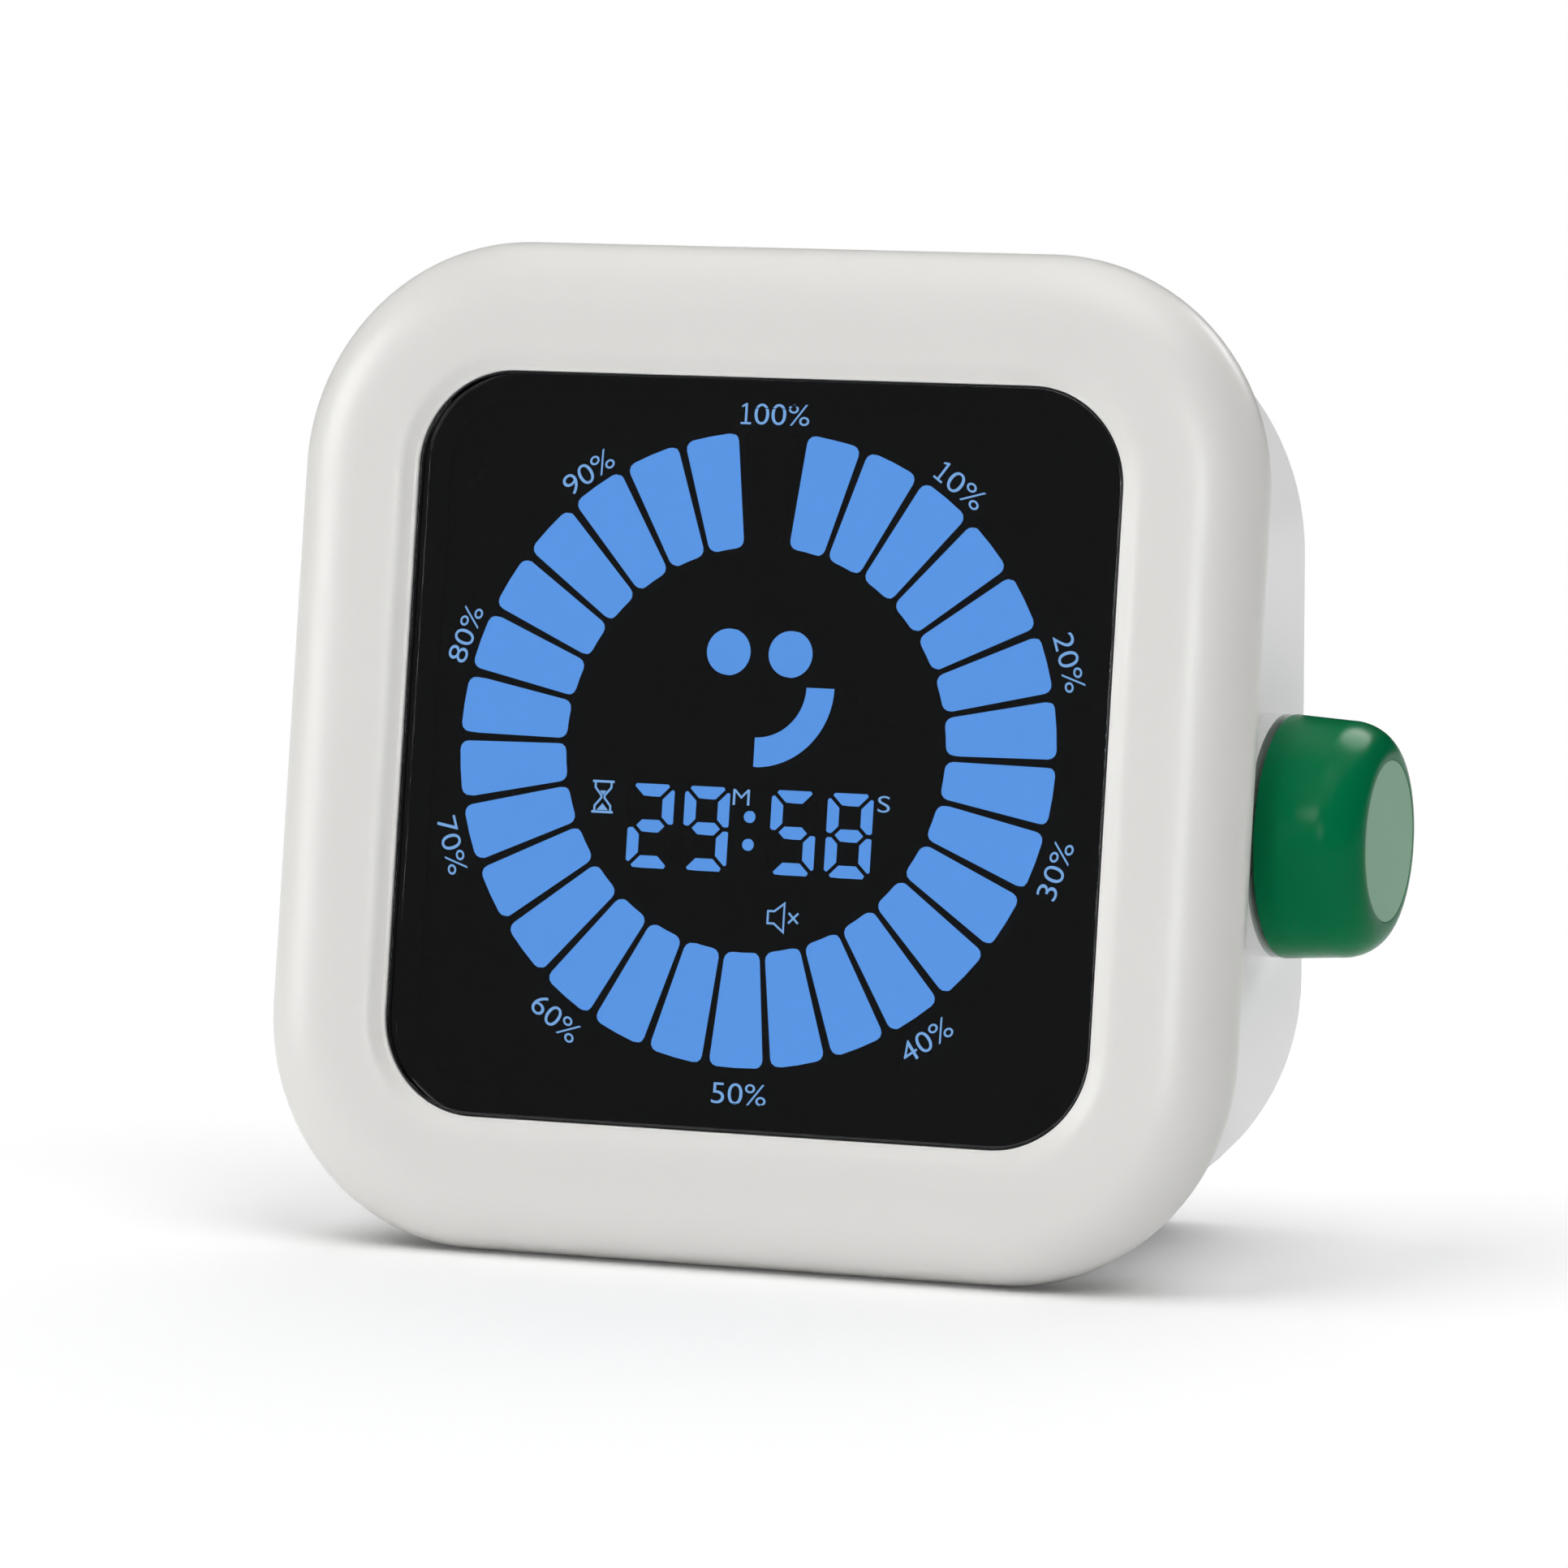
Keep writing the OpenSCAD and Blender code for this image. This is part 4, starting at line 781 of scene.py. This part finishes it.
# ---------------------------------------------------------------------------------------------
# Stage: a seamless pale floor, a plain surround beyond it that gives no light, soft lamps that
# are linked to what each lights, and the camera.
# ---------------------------------------------------------------------------------------------
FLOOR_HALF, FLOOR_LIFT = 4, 0.09
floor_corners = [(side_x * FLOOR_HALF, side_y * FLOOR_HALF, 0)
                 for side_x, side_y in ((-1, -1), (1, -1), (1, 1), (-1, 1))]
floor_mesh = bpy.data.meshes.new("floor")
floor_mesh.from_pydata(floor_corners, [], [(0, 1, 2, 3)])
floor = bpy.data.objects.new("floor", floor_mesh)
bpy.context.scene.collection.objects.link(floor)
floor_paper = bpy.data.materials.new("floor_paper")
floor_paper.use_nodes = True
tree = floor_paper.node_tree
tree.nodes.clear()
fibre = add_node(tree, "MapRange", {
    "Value": own_noise(tree, 6), "To Min": 0.93, "To Max": 0.95})
paper = add_node(tree, "BsdfDiffuse", {"Color": fibre.outputs[0]})
camera_ray = add_node(tree, "LightPath").outputs["Is Camera Ray"]
lift = add_node(tree, "Math", {0: camera_ray, 1: FLOOR_LIFT}, operation="MULTIPLY")
glow = add_node(tree, "Emission", {"Strength": lift.outputs[0]})
both = add_node(tree, "AddShader", {0: paper.outputs[0], 1: glow.outputs[0]})
add_node(tree, "OutputMaterial", {"Surface": both.outputs[0]})
floor_mesh.materials.append(floor_paper)

world = bpy.data.worlds.new("studio")
bpy.context.scene.world = world
world.use_nodes = True
ray = add_node(world.node_tree, "LightPath").outputs
seen = add_node(world.node_tree, "Math", {
    0: ray["Is Camera Ray"], 1: ray["Is Transmission Ray"]}, operation="MAXIMUM")
set_inputs(world.node_tree.nodes["Background"], {"Strength": seen.outputs[0]})


def only(piece_lit):
    """Set of things a lamp falls on: that piece alone."""
    lit = bpy.data.collections.new("only_" + piece_lit.name)
    lit.objects.link(piece_lit)
    return lit


def all_but(*pieces_left_out):
    """Set of things a lamp falls on: everything but those pieces."""
    lit = bpy.data.collections.new("all_but_" + pieces_left_out[-1].name)
    for position, left_out in enumerate(pieces_left_out):
        lit.objects.link(left_out)
        lit.collection_objects[position].light_linking.link_state = "EXCLUDE"
    return lit


def far_lamp(name, place, spread, strength, falls_on):
    """A lamp so far off that it lights all alike, from the direction of place.

    Its light is softened over spread degrees, and meets only the things in falls_on.
    """
    lamp = bpy.data.lights.new(name, "SUN")
    lamp.angle = math.radians(spread)
    lamp.energy = strength
    holder = bpy.data.objects.new(name, lamp)
    x, y, z = place
    tilt = math.pi / 2 - math.atan2(z, math.hypot(x, y))
    holder.rotation_euler = (tilt, 0, math.atan2(x, -y))
    bpy.context.scene.collection.objects.link(holder)
    holder.light_linking.receiver_collection = falls_on
    return holder


off_floor = all_but(floor)
far_lamp("overhead_lamp", (0.05, 0.05, 1.0), 60, 1.32, off_floor)
far_lamp("floor_right_lamp", (0.45, -0.22, 1.0), 42, 1.07, only(floor))
far_lamp("floor_left_lamp", (-0.45, -0.22, 1.0), 42, 1.05, only(floor))
far_lamp("floor_rear_lamp", (0.0, 0.5, 1.0), 58, 1.29, only(floor))
far_lamp("front_top_lamp", (0.0, -0.6, 1.0), 40, 0.84, off_floor)
far_lamp("left_lamp", (-0.86, -0.5, 0.3), 30, 0.92, off_floor)
far_lamp("front_lamp", (0.0, -0.98, 0.25), 9, 0.39, off_floor)
far_lamp("rear_low_lamp", (0.8, 0.8, 0.3), 30, 1.08, all_but(floor, knob_cap, front_frame))
far_lamp("rear_high_lamp", (0.5, 0.8, 0.7), 24, 0.72, all_but(floor, knob_cap, rear_shell))

# Two lamps give the knob its highlights and no other light
knob_rear = far_lamp("knob_rear_lamp", (0.15, 0.62, 0.77), 36, 3.4, only(knob_cap))
knob_rear.visible_diffuse = False
knob_front = far_lamp("knob_front_lamp", (-0.29, -0.82, 0.49), 13, 1.1, only(knob_cap))
knob_front.visible_diffuse = False

# A long lens, whose focal length is given in the picture's own pixels, and two angles in degrees
SENSOR_W, FOCAL_PX, PICTURE_PX = 36, 10000, 1932
LOOKS_DOWN, FROM_RIGHT = 7.304, 21.099
camera_data = bpy.data.cameras.new("camera")
camera_data.sensor_width = SENSOR_W
camera_data.lens = SENSOR_W * FOCAL_PX / PICTURE_PX
camera_data.clip_start = 0.01
camera_data.clip_end = 50
camera = bpy.data.objects.new("camera", camera_data)
camera.location = (0.23866, -0.62652, 0.12338)
camera.rotation_euler = (math.radians(90 - LOOKS_DOWN), 0, math.radians(FROM_RIGHT))
bpy.context.scene.collection.objects.link(camera)
bpy.context.scene.camera = camera
bpy.context.scene.view_settings.view_transform = "Standard"
